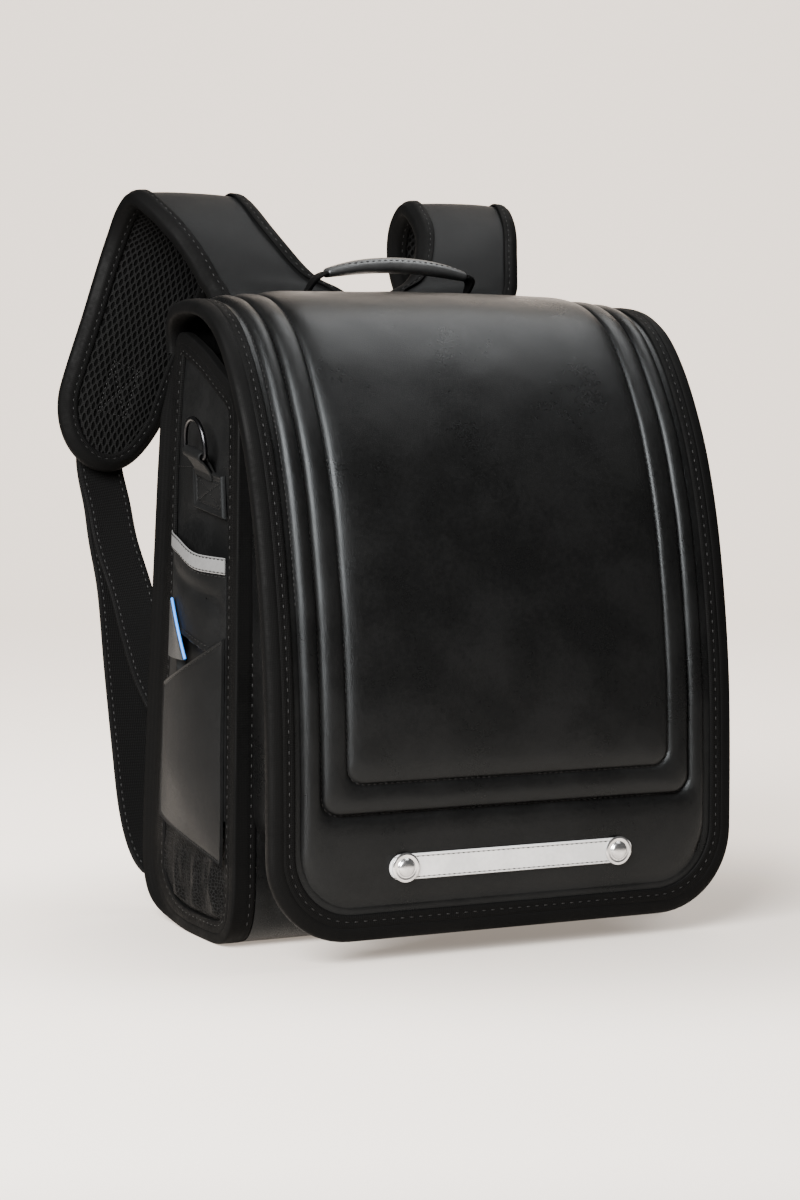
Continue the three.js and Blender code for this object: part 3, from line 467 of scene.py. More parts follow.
def flap_lift(inset):
    """Padding over the flap's edge profile: two ridges between stitched channels, then the middle panel."""
    inset = np.asarray(inset, float)
    edge = 0.6 * ease(inset / FLAP_TAPE) - 0.35 * bump(inset - SEAM_INSET, 0.7)
    first = np.clip((inset - SEAM_INSET) / (CHANNEL_INSET - SEAM_INSET), 0, 1)
    second = np.clip((inset - CHANNEL_INSET) / RIB_WIDTH, 0, 1)
    inside = np.clip(inset - INNER_CHANNEL, 0, None)
    ridges = 1.3 * first + 3.0 * (1 - np.abs(2 * first ** 0.8 - 1) ** 2.2) + 2.2 * second
    ridges = ridges + 2.4 * (1 - np.abs(2 * second ** 0.72 - 1) ** 2.2)
    panel = 3.4 * (1 - np.exp(-inside / 5.2)) + 1.2 * ease(inside / 98)
    crisp = 1.0 * (bump(inset - CHANNEL_INSET, 0.8) + bump(inset - INNER_CHANNEL, 0.8))
    return edge + ridges + panel - crisp


def flap_u(inset, foot, **steps):
    half = FLAP_WIDTH / 2 - inset
    radius = max(FLAP_CORNER - 0.425 * (inset + foot), 10)
    return u_line(half, FLAP_LENGTH - foot, radius, **steps)


def hem_fade(along):
    return ease(along / (0.7 * HEM_LENGTH))


# Shader groups and materials

def wire(tree, socket, value):
    if isinstance(value, bpy.types.NodeSocket):
        tree.links.new(value, socket)
    else:
        socket.default_value = value


def put(tree, kind, inputs=None, **settings):
    made = tree.nodes.new(kind)
    for key, value in settings.items():
        setattr(made, key, value)
    for key, value in (inputs or {}).items():
        wire(tree, made.inputs[key], value)
    return made


def maths(tree, operation, *values):
    return put(tree, "ShaderNodeMath", dict(enumerate(values)), operation=operation).outputs[0]


def blend_range(tree, value, low, high, first=0.0, last=1.0):
    """Value eased from one range into another."""
    inputs = {"Value": value, "From Min": low, "From Max": high, "To Min": first, "To Max": last}
    return put(tree, "ShaderNodeMapRange", inputs, interpolation_type="SMOOTHSTEP").outputs["Result"]


def far_from(tree, *parts):
    """Length of the line that has these two parts."""
    return maths(tree, "SQRT", maths(tree, "ADD", *(maths(tree, "POWER", part, 2.0) for part in parts)))


def shaken(tree, place, scale, amount):
    """Noise at a place, and the place moved about by it."""
    noise = put(tree, "ShaderNodeTexNoise", {"Vector": place, "Scale": scale, "Detail": 2.0}).outputs
    shift = put(tree, "ShaderNodeVectorMath", {0: noise["Color"], "Scale": amount}, operation="SCALE")
    moved = put(tree, "ShaderNodeVectorMath", {0: place, 1: shift.outputs[0]}, operation="ADD")
    return noise["Fac"], moved.outputs[0]


def shader_group(name, inputs, outputs):
    tree = bpy.data.node_groups.new(name, "ShaderNodeTree")
    for label, kind, value in inputs:
        socket = tree.interface.new_socket(label, in_out="INPUT", socket_type="NodeSocket" + kind)
        if value is not None:
            socket.default_value = value
    for label, kind in outputs:
        tree.interface.new_socket(label, in_out="OUTPUT", socket_type="NodeSocket" + kind)
    return tree, put(tree, "NodeGroupInput").outputs, put(tree, "NodeGroupOutput").inputs


def grain_group():
    """Pebbled leather: small cells with creases between them, broken up by noise."""
    tree, given, out = shader_group(
        "Leather grain", [("Place", "Vector", None), ("Cell", "Float", 0.0008), ("Break up", "Float", 0.35)],
        [("Height", "Float"), ("Crease", "Float")])
    scale = maths(tree, "DIVIDE", 1.0, given["Cell"])
    _, moved = shaken(tree, given["Place"], 700.0, 0.0005)
    cells = put(tree, "ShaderNodeTexVoronoi", {"Vector": moved, "Scale": scale}, feature="DISTANCE_TO_EDGE")
    crease = blend_range(tree, cells.outputs["Distance"], 0.0, 0.16, 1.0, 0.0)
    fine = put(tree, "ShaderNodeTexNoise", {"Vector": moved, "Scale": 1900.0, "Detail": 3.0})
    rough = maths(tree, "MULTIPLY", fine.outputs["Fac"], given["Break up"])
    wire(tree, out["Height"], maths(tree, "SUBTRACT", rough, crease))
    wire(tree, out["Crease"], crease)
    return tree


def wear_group():
    """Slow change of tone and gloss over a surface, with a few rubbed places."""
    tree, given, out = shader_group(
        "Soft wear", [("Place", "Vector", None), ("Size", "Float", 0.05), ("Low", "Float", 0.4),
                      ("High", "Float", 0.5)],
        [("Amount", "Float"), ("Roughness", "Float"), ("Swell", "Float")])
    scale = maths(tree, "DIVIDE", 1.0, given["Size"])
    broad = put(tree, "ShaderNodeTexNoise", {"Vector": given["Place"], "Scale": scale, "Detail": 3.0})
    close = put(tree, "ShaderNodeTexNoise", {"Vector": given["Place"], "Scale": 420.0, "Detail": 2.0})
    both = maths(tree, "ADD", maths(tree, "MULTIPLY", broad.outputs["Fac"], 0.7),
                 maths(tree, "MULTIPLY", close.outputs["Fac"], 0.3))
    amount = blend_range(tree, both, 0.35, 0.65)
    span = maths(tree, "SUBTRACT", given["High"], given["Low"])
    wire(tree, out["Amount"], amount)
    wire(tree, out["Roughness"], maths(tree, "MULTIPLY_ADD", amount, span, given["Low"]))
    wire(tree, out["Swell"], broad.outputs["Fac"])
    return tree


def weave_group():
    """Crossing threads from distances along and across: ribs one way, finer threads the other."""
    tree, given, out = shader_group(
        "Woven threads", [("Flat", "Vector", None), ("Rib", "Float", 0.0012), ("Thread", "Float", 0.0009)],
        [("Height", "Float"), ("Tone", "Float")])
    noise = put(tree, "ShaderNodeTexNoise", {"Vector": given["Flat"], "Scale": 900.0, "Detail": 2.0})
    jitter = maths(tree, "MULTIPLY", maths(tree, "SUBTRACT", noise.outputs["Fac"], 0.5), 1.6)
    apart = put(tree, "ShaderNodeSeparateXYZ", {0: given["Flat"]}).outputs
    turns = [maths(tree, "MULTIPLY_ADD", maths(tree, "DIVIDE", apart[axis], given[size]), math.tau, jitter)
             for axis, size in ((0, "Rib"), (1, "Thread"))]
    rib = maths(tree, "MULTIPLY_ADD", maths(tree, "SINE", turns[0]), 0.5, 0.5)
    cross = maths(tree, "MULTIPLY_ADD", maths(tree, "SINE", turns[1]), 0.5, 0.5)
    weave = maths(tree, "MULTIPLY_ADD", cross, 0.45, maths(tree, "MULTIPLY", rib, 0.55))
    wire(tree, out["Height"], maths(tree, "MULTIPLY_ADD", noise.outputs["Fac"], 0.3, weave))
    wire(tree, out["Tone"], weave)
    return tree


def holes_group():
    """Air mesh: staggered rows of upright oval holes, from distances along and across."""
    tree, given, out = shader_group(
        "Air mesh holes", [("Flat", "Vector", None), ("Row", "Float", 0.006), ("Gap", "Float", 0.0042)],
        [("Hole", "Float"), ("Height", "Float")])
    apart = put(tree, "ShaderNodeSeparateXYZ", {0: given["Flat"]}).outputs
    along = maths(tree, "DIVIDE", apart[0], given["Row"])
    across = maths(tree, "DIVIDE", apart[1], given["Gap"])
    near = []
    for shift in (0.0, 0.5):
        u = maths(tree, "SUBTRACT", maths(tree, "FRACT", maths(tree, "ADD", along, 50 + shift)), 0.5)
        v = maths(tree, "SUBTRACT", maths(tree, "FRACT", maths(tree, "ADD", across, 50 + shift)), 0.5)
        near.append(far_from(tree, maths(tree, "DIVIDE", u, 0.36), maths(tree, "DIVIDE", v, 0.3)))
    nearest = maths(tree, "MINIMUM", *near)
    hole = blend_range(tree, nearest, 0.55, 1.0, 1.0, 0.0)
    wire(tree, out["Hole"], hole)
    wire(tree, out["Height"], maths(tree, "SUBTRACT", 1.0, hole))
    return tree


def knit_group():
    """Gathered net: open cells of knotted thread, drawn together unevenly."""
    tree, given, out = shader_group(
        "Knotted net", [("Flat", "Vector", None), ("Cell", "Float", 0.0019)],
        [("Thread", "Float"), ("Height", "Float")])
    noise, moved = shaken(tree, given["Flat"], 260.0, 0.0018)
    scale = maths(tree, "DIVIDE", 1.0, given["Cell"])
    cells = put(tree, "ShaderNodeTexVoronoi", {"Vector": moved, "Scale": scale, "Randomness": 0.75},
                feature="DISTANCE_TO_EDGE")
    thread = blend_range(tree, cells.outputs["Distance"], 0.05, 0.22, 1.0, 0.0)
    wire(tree, out["Thread"], thread)
    wire(tree, out["Height"], maths(tree, "MULTIPLY_ADD", noise, 0.3, thread))
    return tree


GRAIN, WEAR, WEAVE, HOLES, KNIT = grain_group(), wear_group(), weave_group(), holes_group(), knit_group()


def use(tree, group, **inputs):
    made = put(tree, "ShaderNodeGroup", node_tree=group)
    for key, value in inputs.items():
        wire(tree, made.inputs[key.replace("_", " ")], value)
    return made.outputs


def grey(value, tint=0.0):
    return (value * (1 - tint), value, value * (1 + tint), 1.0)


def tone(tree, share, low, high):
    made = put(tree, "ShaderNodeMix", {0: share, 6: low, 7: high}, data_type="RGBA")
    return made.outputs[2]


def new_material(name, wear=None, **constants):
    """A material with its constants, and wear of a given size between two values of roughness."""
    made = bpy.data.materials.new(name)
    made.use_nodes = True
    tree = made.node_tree
    shader = tree.nodes["Principled BSDF"]
    for label, value in constants.items():
        shader.inputs[label.replace("_", " ")].default_value = value
    place = put(tree, "ShaderNodeTexCoord").outputs
    if wear is None:
        return made, tree, shader, place
    size, low, high = wear
    return made, tree, shader, place, use(tree, WEAR, Place=place["Object"], Size=size, Low=low, High=high)


def finish(tree, shader, base, roughness, *layers):
    """Colour, roughness and bumps; each bump is a height, its depth in metres and its strength."""
    wire(tree, shader.inputs["Base Color"], base)
    wire(tree, shader.inputs["Roughness"], roughness)
    normal = None
    for height, depth, strength in layers:
        made = put(tree, "ShaderNodeBump", {"Height": height, "Distance": depth, "Strength": strength})
        if normal is not None:
            wire(tree, made.inputs["Normal"], normal)
        normal = made.outputs["Normal"]
    wire(tree, shader.inputs["Normal"], normal)


def make_leather(name, dark, light, low, high, cell=0.0008, specular=0.4):
    made, tree, shader, place, wear = new_material(name, (0.04, low, high), Specular_IOR_Level=specular,
                                                   Specular_Tint=(0.9, 0.96, 1.0, 1.0))
    grain = use(tree, GRAIN, Place=place["Object"], Cell=cell)
    shade = maths(tree, "MULTIPLY_ADD", grain["Crease"], -0.35, wear["Amount"])
    finish(tree, shader, tone(tree, shade, grey(dark), grey(light)), wear["Roughness"],
           (wear["Swell"], 0.0012, 0.35), (grain["Height"], 0.00007, 0.5))
    return made


def make_tape(name, dark, light, rib, thread, smooth_from=None):
    """Woven tape; past smooth_from, in metres across, its threads lie flat."""
    made, tree, shader, place, wear = new_material(name, (0.03, 0.58, 0.78), Specular_IOR_Level=0.06)
    weave = use(tree, WEAVE, Flat=place["UV"], Rib=rib, Thread=thread)
    height = weave["Height"]
    if smooth_from is not None:
        across = put(tree, "ShaderNodeSeparateXYZ", {0: place["UV"]}).outputs[1]
        coarse = blend_range(tree, across, smooth_from - 0.0006, smooth_from + 0.0006, 1.0, 0.25)
        height = maths(tree, "MULTIPLY", height, coarse)
    finish(tree, shader, tone(tree, weave["Tone"], grey(dark), grey(light)), wear["Roughness"],
           (wear["Swell"], 0.0008, 0.25), (height, 0.00022, 0.7))
    return made


def make_air_mesh():
    made, tree, shader, place, wear = new_material("Air mesh", (0.03, 0.6, 0.8), Specular_IOR_Level=0.04)
    holes = use(tree, HOLES, Flat=place["UV"])
    weave = use(tree, WEAVE, Flat=place["UV"], Rib=0.0009, Thread=0.0009)
    threads = tone(tree, weave["Tone"], grey(0.002), grey(0.008))
    height = maths(tree, "MULTIPLY_ADD", weave["Height"], 0.12, holes["Height"])
    # The holes are painted near black: partly the black padding seen through them, partly painted shade in
    # the holes.
    finish(tree, shader, tone(tree, holes["Hole"], threads, grey(0.0003)), wear["Roughness"],
           (height, 0.0012, 0.8))
    return made


def make_net():
    made, tree, shader, place, wear = new_material("Gathered net", (0.02, 0.5, 0.7), Specular_IOR_Level=0.05)
    knit = use(tree, KNIT, Flat=place["UV"])
    # The open cells between the threads are painted near black: partly the black leather behind the net,
    # partly painted shade under it.
    finish(tree, shader, tone(tree, knit["Thread"], grey(0.0004), grey(0.006)), wear["Roughness"],
           (knit["Height"], 0.0007, 0.9))
    return made


def make_reflector(name, light, dark, line, edge, half):
    """Tape of tiny glass beads: bright and even, with a fine darker line inside each edge."""
    made, tree, shader, place, wear = new_material(name, (0.03, 0.36, 0.5), Metallic=0.25,
                                                   Specular_IOR_Level=0.6)
    beads = put(tree, "ShaderNodeTexVoronoi", {"Vector": place["Object"], "Scale": 2600.0})
    across = put(tree, "ShaderNodeSeparateXYZ", {0: place["UV"]}).outputs[1]
    inward = maths(tree, "SUBTRACT", half, maths(tree, "ABSOLUTE", across))
    groove = maths(tree, "ABSOLUTE", maths(tree, "SUBTRACT", inward, edge))
    drawn = blend_range(tree, groove, 0.0001, 0.0004, 1.0, 0.0)
    base = tone(tree, wear["Amount"], light, dark)
    height = maths(tree, "MULTIPLY_ADD", drawn, -1.5, beads.outputs["Distance"])
    finish(tree, shader, tone(tree, drawn, base, line), wear["Roughness"], (height, 0.0001, 0.5))
    return made


def make_metal(name, colour, low, high):
    made, tree, shader, place, wear = new_material(name, (0.008, low, high), Metallic=1.0)
    scratches = put(tree, "ShaderNodeTexNoise", {"Vector": place["Object"], "Scale": 900.0, "Detail": 4.0})
    worn = [0.8 * part for part in colour[:3]] + [1]
    finish(tree, shader, tone(tree, wear["Amount"], colour, worn), wear["Roughness"],
           (scratches.outputs["Fac"], 0.00003, 0.4))
    return made


def make_thread(name, dark, light):
    made, tree, shader, place = new_material(name, Specular_IOR_Level=0.25)
    twist = put(tree, "ShaderNodeTexNoise", {"Vector": place["Object"], "Scale": 2400.0, "Detail": 2.0})
    amount = twist.outputs["Fac"]
    finish(tree, shader, tone(tree, amount, grey(dark), grey(light)),
           blend_range(tree, amount, 0.3, 0.7, 0.45, 0.65), (amount, 0.0002, 0.5))
    return made


LEATHER = make_leather("Satin black leather", 0.0022, 0.004, 0.27, 0.35, 0.0008, 0.16)
STRAP_LEATHER = make_leather("Strap leather", 0.003, 0.005, 0.46, 0.56, 0.0008, 0.08)
SIDE_LEATHER = make_leather("Matt side leather", 0.0025, 0.0045, 0.5, 0.6, 0.0007, 0.1)
GRIP_LEATHER = make_leather("Grip leather", 0.016, 0.026, 0.3, 0.4, 0.0007, 0.5)
FLAP_TAPE_FINISH = make_tape("Flap edge tape", 0.0005, 0.0019, 0.00125, 0.0009, 0.0068)
STRAP_TAPE_FINISH = make_tape("Strap edge tape", 0.0004, 0.0016, 0.00125, 0.0009, 0.0048)
SIDE_TAPE_FINISH = make_tape("Seam tape", 0.0004, 0.0015, 0.0013, 0.0009, 0.0088)
WEBBING = make_tape("Ribbed webbing", 0.0005, 0.0022, 0.0017, 0.0012)
AIR_MESH = make_air_mesh()
NET = make_net()
SILVER_TAPE = make_reflector("Silver reflective tape", grey(0.6), grey(0.5), grey(0.2), 0.0014, 0.007)
GREY_TAPE = make_reflector("Grey reflective tape", grey(0.15), grey(0.12), grey(0.05), 0.0007, 0.004)
GUNMETAL = make_metal("Gunmetal", (0.03, 0.03, 0.032, 1), 0.26, 0.38)
SILVER = make_metal("Bright rivet metal", (0.75, 0.75, 0.76, 1), 0.14, 0.26)
LIGHT_THREAD = make_thread("Pale thread", 0.0035, 0.009)
DARK_THREAD = make_thread("Black thread", 0.0005, 0.002)
EDGE_THREAD = make_thread("Grey thread", 0.002, 0.006)


def make_piping():
    made, tree, shader, place, wear = new_material("Blue piping", (0.01, 0.4, 0.55), Specular_IOR_Level=0.4)
    weave = use(tree, WEAVE, Flat=place["UV"], Rib=0.0008, Thread=0.0006)
    blue = tone(tree, weave["Tone"], (0.02, 0.13, 0.5, 1), (0.05, 0.25, 0.75, 1))
    finish(tree, shader, blue, wear["Roughness"], (weave["Height"], 0.0001, 0.4))
    return made


BLUE = make_piping()

# Rows of stitches, by Geometry Nodes

stitch_rows = {}


def sew(row, points, up):
    """Note a line to be sewn: its points and the way up at each, for one named row of stitches."""
    points = np.asarray(points, float)
    up = np.broadcast_to(np.asarray(up, float), points.shape)
    stitch_rows.setdefault(row, []).append((points, up))


def stitch_tree():
    tree = bpy.data.node_groups.new("Row of stitches", "GeometryNodeTree")
    tree.is_modifier = True
    tree.interface.new_socket("Line", in_out="INPUT", socket_type="NodeSocketGeometry")
    for label in ("Pitch", "Length", "Width", "Rise"):
        tree.interface.new_socket(label, in_out="INPUT", socket_type="NodeSocketFloat")
    tree.interface.new_socket("Thread", in_out="INPUT", socket_type="NodeSocketMaterial")
    tree.interface.new_socket("Stitches", in_out="OUTPUT", socket_type="NodeSocketGeometry")
    given = put(tree, "NodeGroupInput").outputs
    curve = put(tree, "GeometryNodeMeshToCurve", {0: given["Line"]}).outputs[0]
    spaced = put(tree, "GeometryNodeResampleCurve", {"Curve": curve, "Length": given["Pitch"]}, mode="LENGTH")
    drop = put(tree, "GeometryNodeMeshUVSphere", {"Segments": 6, "Rings": 4, "Radius": 0.5}).outputs[0]
    sizes = {0: given["Length"], 1: given["Width"], 2: given["Rise"]}
    size = put(tree, "ShaderNodeCombineXYZ", sizes).outputs[0]
    shaped = put(tree, "GeometryNodeTransform", {"Geometry": drop, "Scale": size}).outputs[0]
    run = put(tree, "GeometryNodeInputTangent").outputs[0]
    up = put(tree, "GeometryNodeInputNamedAttribute", {"Name": "up"}, data_type="FLOAT_VECTOR").outputs[0]
    turn = put(tree, "FunctionNodeAxesToRotation", {0: run, 1: up}, primary_axis="X", secondary_axis="Z")
    inputs = {"Points": spaced.outputs[0], "Instance": shaped, "Rotation": turn.outputs[0]}
    placed = put(tree, "GeometryNodeInstanceOnPoints", inputs).outputs[0]
    real = put(tree, "GeometryNodeRealizeInstances", {0: placed}).outputs[0]
    done = put(tree, "GeometryNodeSetMaterial", {"Geometry": real, "Material": given["Thread"]}).outputs[0]
    put(tree, "NodeGroupOutput", {"Stitches": done})
    return tree


def make_stitches(name, pitch, length, width, rise, thread, slot):
    """All lines noted under a name, sewn and turned into one plain mesh."""
    points = np.vstack([line for line, _ in stitch_rows[name]]) * METRE
    ups = np.vstack([up for _, up in stitch_rows[name]])
    edges, first = [], 0
    for line, _ in stitch_rows[name]:
        edges += [(first + i, first + i + 1) for i in range(len(line) - 1)]
        first += len(line)
    mesh = bpy.data.meshes.new(name)
    mesh.from_pydata(points.tolist(), edges, [])
    mesh.attributes.new("up", "FLOAT_VECTOR", "POINT").data.foreach_set("vector", ups.ravel())
    made = bpy.data.objects.new(name, mesh)
    bpy.context.scene.collection.objects.link(made)
    modifier = made.modifiers.new("Stitches", "NODES")
    modifier.node_group = STITCHES
    sizes = {"Pitch": pitch * METRE, "Length": length * METRE, "Width": width * METRE, "Rise": rise * METRE,
             "Thread": thread}
    for socket in STITCHES.interface.items_tree:
        if socket.in_out == "INPUT" and socket.name in sizes:
            modifier[socket.identifier] = sizes[socket.name]
    bpy.context.view_layer.update()
    sewn = bpy.data.meshes.new_from_object(made.evaluated_get(bpy.context.evaluated_depsgraph_get()))
    made.modifiers.remove(modifier)
    made.data = sewn
    sewn.name = name
    sewn.polygons.foreach_set("use_smooth", [True] * len(sewn.polygons))
    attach(made, "bag")
    return made


STITCHES = stitch_tree()


# Flap

def make_flap():
    near = [FLAP_TAPE, 14.5, 15.8, 16.4, 17, 17.6, 18.3, 19.4, 20.8, 22.3, 23.8, 25.2, 26.4, 27.2, 27.6, 28,
            28.4, 28.8, 29.6, 31, 32.6, 34.2, 35.8, 37.4, 39, 40.4, 41.2, 41.6, 42, 42.4, 42.8, 43.6, 45,
            46.6, 48.6, 51]
    insets = np.array([0, 3, 6.5, 10, *near, *np.linspace(55, FLAP_WIDTH / 2, 18)])
    outer, inner = [], []
    for inset in insets:
        line = flap_u(inset, flap_foot(inset))
        x, along = line[:, 0], line[:, 1]
        fade = hem_fade(along)
        soft = ease((inset - FLAP_TAPE) / 6) * fade
        uneven = 0.28 * ripple(x, along, seed=4) + 0.12 * ripple(2.2 * x, 2.6 * along, seed=9)
        lift = flap_lift(inset) * fade
        outer.append(flap_point(x, along, lift + uneven * soft))
        inner.append(flap_point(x, along, 0.55 * lift - FLAP_THICKNESS))
    shape = wall(outer, inner, far_rim=False)
    made = piece("padded_flap", shape, LEATHER, ["flap"])
    for inset, row in ((SEAM_INSET, "flap_seam_stitches"), (CHANNEL_INSET, "channel_stitches"),
                       (INNER_CHANNEL, "channel_stitches")):
        line = flap_u(inset, flap_foot(inset))
        if inset == SEAM_INSET:
            below = np.interp(190, flap_line[::-1, 1][:1500], flap_run[::-1][:1500])
            for leg in (line[:130], line[-130:]):
                kept = leg[leg[:, 1] < below]
                lift = flap_lift(inset) * hem_fade(kept[:, 1])
                sew(row, flap_point(kept[:, 0], kept[:, 1], lift + 0.1), flap_normal(kept[:, 1]))
            continue
        lift = flap_lift(inset) * hem_fade(line[:, 1])
        sew(row, flap_point(line[:, 0], line[:, 1], lift + 0.15), flap_normal(line[:, 1]))


def make_flap_binding():
    over = CLEARANCE + FLAP_TAPE_THICKNESS
    low = -FLAP_THICKNESS
    top = 0.6 + over
    under = low - over
    # Columns: inset, lift of the tape's outer skin, lift of its inner skin
    section = np.array([
        (FLAP_TAPE, 0.95, 0.9), (FLAP_TAPE - 0.1, top - 0.4, 0.9), (FLAP_TAPE - 0.7, top, 0.9),
        (FLAP_TAPE - 2.4, top + 0.05, 0.9), (FLAP_TAPE - STITCH_INSET, top - 0.25, 0.9),
        (FLAP_TAPE - 4.6, top + 0.05, 0.85), (FLAP_TAPE - 6.5, top + 0.1, 0.8),
        (FLAP_TAPE - 6.9, top - 0.1, 0.8), (FLAP_TAPE - 7.3, top + 0.12, 0.75), (4, top, 0.7),
        (2, top - 0.2, 0.6), (0.4, top - 0.7, 0.5),
        (-0.8, 0.55, 0.2), (-1.35, -0.4, -0.4), (-over, -1.6, -1.6), (-over, low + 1.2, low + 1.2),
        (-1.3, low + 0.1, low + 0.3), (-0.7, low - 0.8, low), (0.6, low - 1.3, low - 0.3),
        (3, under, low - 0.3), (8, under + 0.2, low), (FLAP_TAPE - 0.6, under + 0.3, low),
        (FLAP_TAPE, low - 0.5, low),
    ])
    outer, inner = [], []
    for inset, skin, core in section:
        line = u_line(FLAP_WIDTH / 2 - inset, FLAP_LENGTH - inset, FLAP_CORNER - 0.85 * inset)
        outer.append(flap_point(line[:, 0], line[:, 1], skin))
        inside = max(inset, -CLEARANCE)
        line = u_line(FLAP_WIDTH / 2 - inside, FLAP_LENGTH - inside, FLAP_CORNER - 0.85 * inside)
        inner.append(flap_point(line[:, 0], line[:, 1], core))
    outer = np.swapaxes(outer, 0, 1)
    inner = np.swapaxes(inner, 0, 1)
    run = lengths(outer[:, 12])
    width = lengths(section[:, :2])
    uv = grid_uv(run[:, None], width[None, :])
    shape = wall(outer, inner)
    piece("flap_edge_tape", shape, FLAP_TAPE_FINISH, ["flap_binding"], uv=uv)
    inset = FLAP_TAPE - STITCH_INSET
    line = u_line(FLAP_WIDTH / 2 - inset, FLAP_LENGTH - inset, FLAP_CORNER - 0.85 * inset)
    sew("tape_stitches", flap_point(line[:, 0], line[:, 1], top - 0.05), flap_normal(line[:, 1]))


def apron_lift(foot):
    """Padding below the channels, by the height over the flap's foot."""
    insets = np.linspace(SEAM_INSET, CHANNEL_INSET, 40)
    return np.interp(foot, flap_foot(insets), flap_lift(insets))


def make_strip():
    half_length = STRIP_LENGTH / 2 + STRIP_WIDTH / 2
    round_part = STRIP_WIDTH / 2
    turn = np.linspace(0, math.pi / 2, 12)
    ends = STRIP_LENGTH / 2 + round_part * np.sin(turn)
    x = np.concatenate([-ends[::-1], np.linspace(-STRIP_LENGTH / 2, STRIP_LENGTH / 2, 60)[1:-1], ends])
    past = np.maximum(0, np.abs(x) - STRIP_LENGTH / 2)
    half = np.maximum(np.sqrt(np.maximum(round_part ** 2 - past ** 2, 0)), 0.4)
    share = np.array([-1, -0.985, -0.93, -0.8, -0.62, -0.3, 0, 0.3, 0.62, 0.8, 0.93, 0.985, 1])
    rise = half[:, None] * share[None, :]
    foot = STRIP_HEIGHT - FLAP_FOOT + rise
    edge = np.minimum(1, np.sqrt(np.maximum(1 - np.abs(share), 0) / 0.07))[None, :]
    tip = np.minimum(1, np.sqrt(np.maximum(half_length - np.abs(x), 0) / 0.5))[:, None]
    dome = (STRIP_THICKNESS + CLEARANCE - 0.5) * edge * tip + 0.5
    seat = apron_lift(foot)
    outer = flap_point(x[:, None], FLAP_LENGTH - foot, seat + dome)
    inner = flap_point(x[:, None], FLAP_LENGTH - foot, seat + CLEARANCE)
    shape = wall(outer, inner)
    uv = grid_uv(x[:, None], rise)
    piece("silver_strip", shape, SILVER_TAPE, ["reflective_strip"], uv=uv)
    inset = 1.5
    angle = np.linspace(-math.pi / 2, math.pi / 2, 24)
    radius = round_part - inset
    right = np.stack([STRIP_LENGTH / 2 + radius * np.cos(angle), radius * np.sin(angle)], axis=1)
    loop = np.vstack([right, -right, right[:1]])
    foot = STRIP_HEIGHT - FLAP_FOOT + loop[:, 1]
    along = FLAP_LENGTH - foot
    loop_points = flap_point(loop[:, 0], along, apron_lift(foot) + STRIP_THICKNESS + CLEARANCE + 0.02)
    loop_points = even(loop_points, 260)
    sew("strip_stitches", loop_points, (0, -1, 0))


def make_rivet(tag, side):
    profile = np.array([
        (0, 0), (RIVET_RADIUS - 0.2, 0), (RIVET_RADIUS, 0.15), (RIVET_RADIUS, 0.45),
        (RIVET_RADIUS - 0.35, 0.7), (RIVET_RADIUS - 1.4, 0.78), (DOME_RADIUS + 1.2, 0.62),
        (DOME_RADIUS + 0.35, 0.66), (DOME_RADIUS, 0.95), (DOME_RADIUS - 0.1, 1.3), (0.9 * DOME_RADIUS, 1.75),
        (0.72 * DOME_RADIUS, 2.2), (0.5 * DOME_RADIUS, 2.5), (0.25 * DOME_RADIUS, 2.66), (0, 2.7),
    ])
    foot = STRIP_HEIGHT - FLAP_FOOT
    seat = apron_lift(foot) + 2 * CLEARANCE + STRIP_THICKNESS
    place = flap_point(side * RIVET_SPACING / 2, FLAP_LENGTH - foot, seat)
    turn = np.linspace(0, 2 * math.pi, 41)[:-1]
    rings = [np.stack([radius * np.cos(turn), np.full(40, -rise), radius * np.sin(turn)], axis=1) + place
             for radius, rise in profile]
    shape = tube(rings)
    piece(f"domed_rivet_{tag}", shape, SILVER, [f"rivet_{tag}"], sharp=35)


# Body

def make_side_panel(tag, side):
    low, high = side_line[:, 1].min() + 0.3, side_line[:, 1].max() - 0.3
    turn = np.linspace(0, math.pi, 90)
    z = (mix(low, high, (1 - np.cos(turn)) / 2) * 0.4 + np.linspace(low, high, 90) * 0.6)[:, None]
    share = np.linspace(0, 1, 40)[None, :]
    y = mix(front_at(z) + 0.2, rear_at(z) - 0.2, share)
    puff = 0.5 * (1 - (2 * share - 1) ** 4) * ease((z - 235) / 20) * ease((330 - z) / 25)
    puff = puff + 0.18 * ripple(y, z, seed=21) * ease((z - 220) / 20)
    outer = side_point(side, y, z, puff - 0.2)
    inner = side_point(side, y, z, np.full_like(y, -WALL))
    shape = wall(outer, inner)
    piece(f"side_leather_{tag}", shape, SIDE_LEATHER, [f"side_panel_{tag}"])
    line = np.linspace(front_at(262) + SEAM_TAPE + 1, rear_at(262) - SEAM_TAPE - 1, 30)
    for part in (line[line < RING_Y - 20], line[line > RING_Y + 20]):
        if len(part) > 1:
            sew_side(side, part, np.full_like(part, 261.5), 0.35)


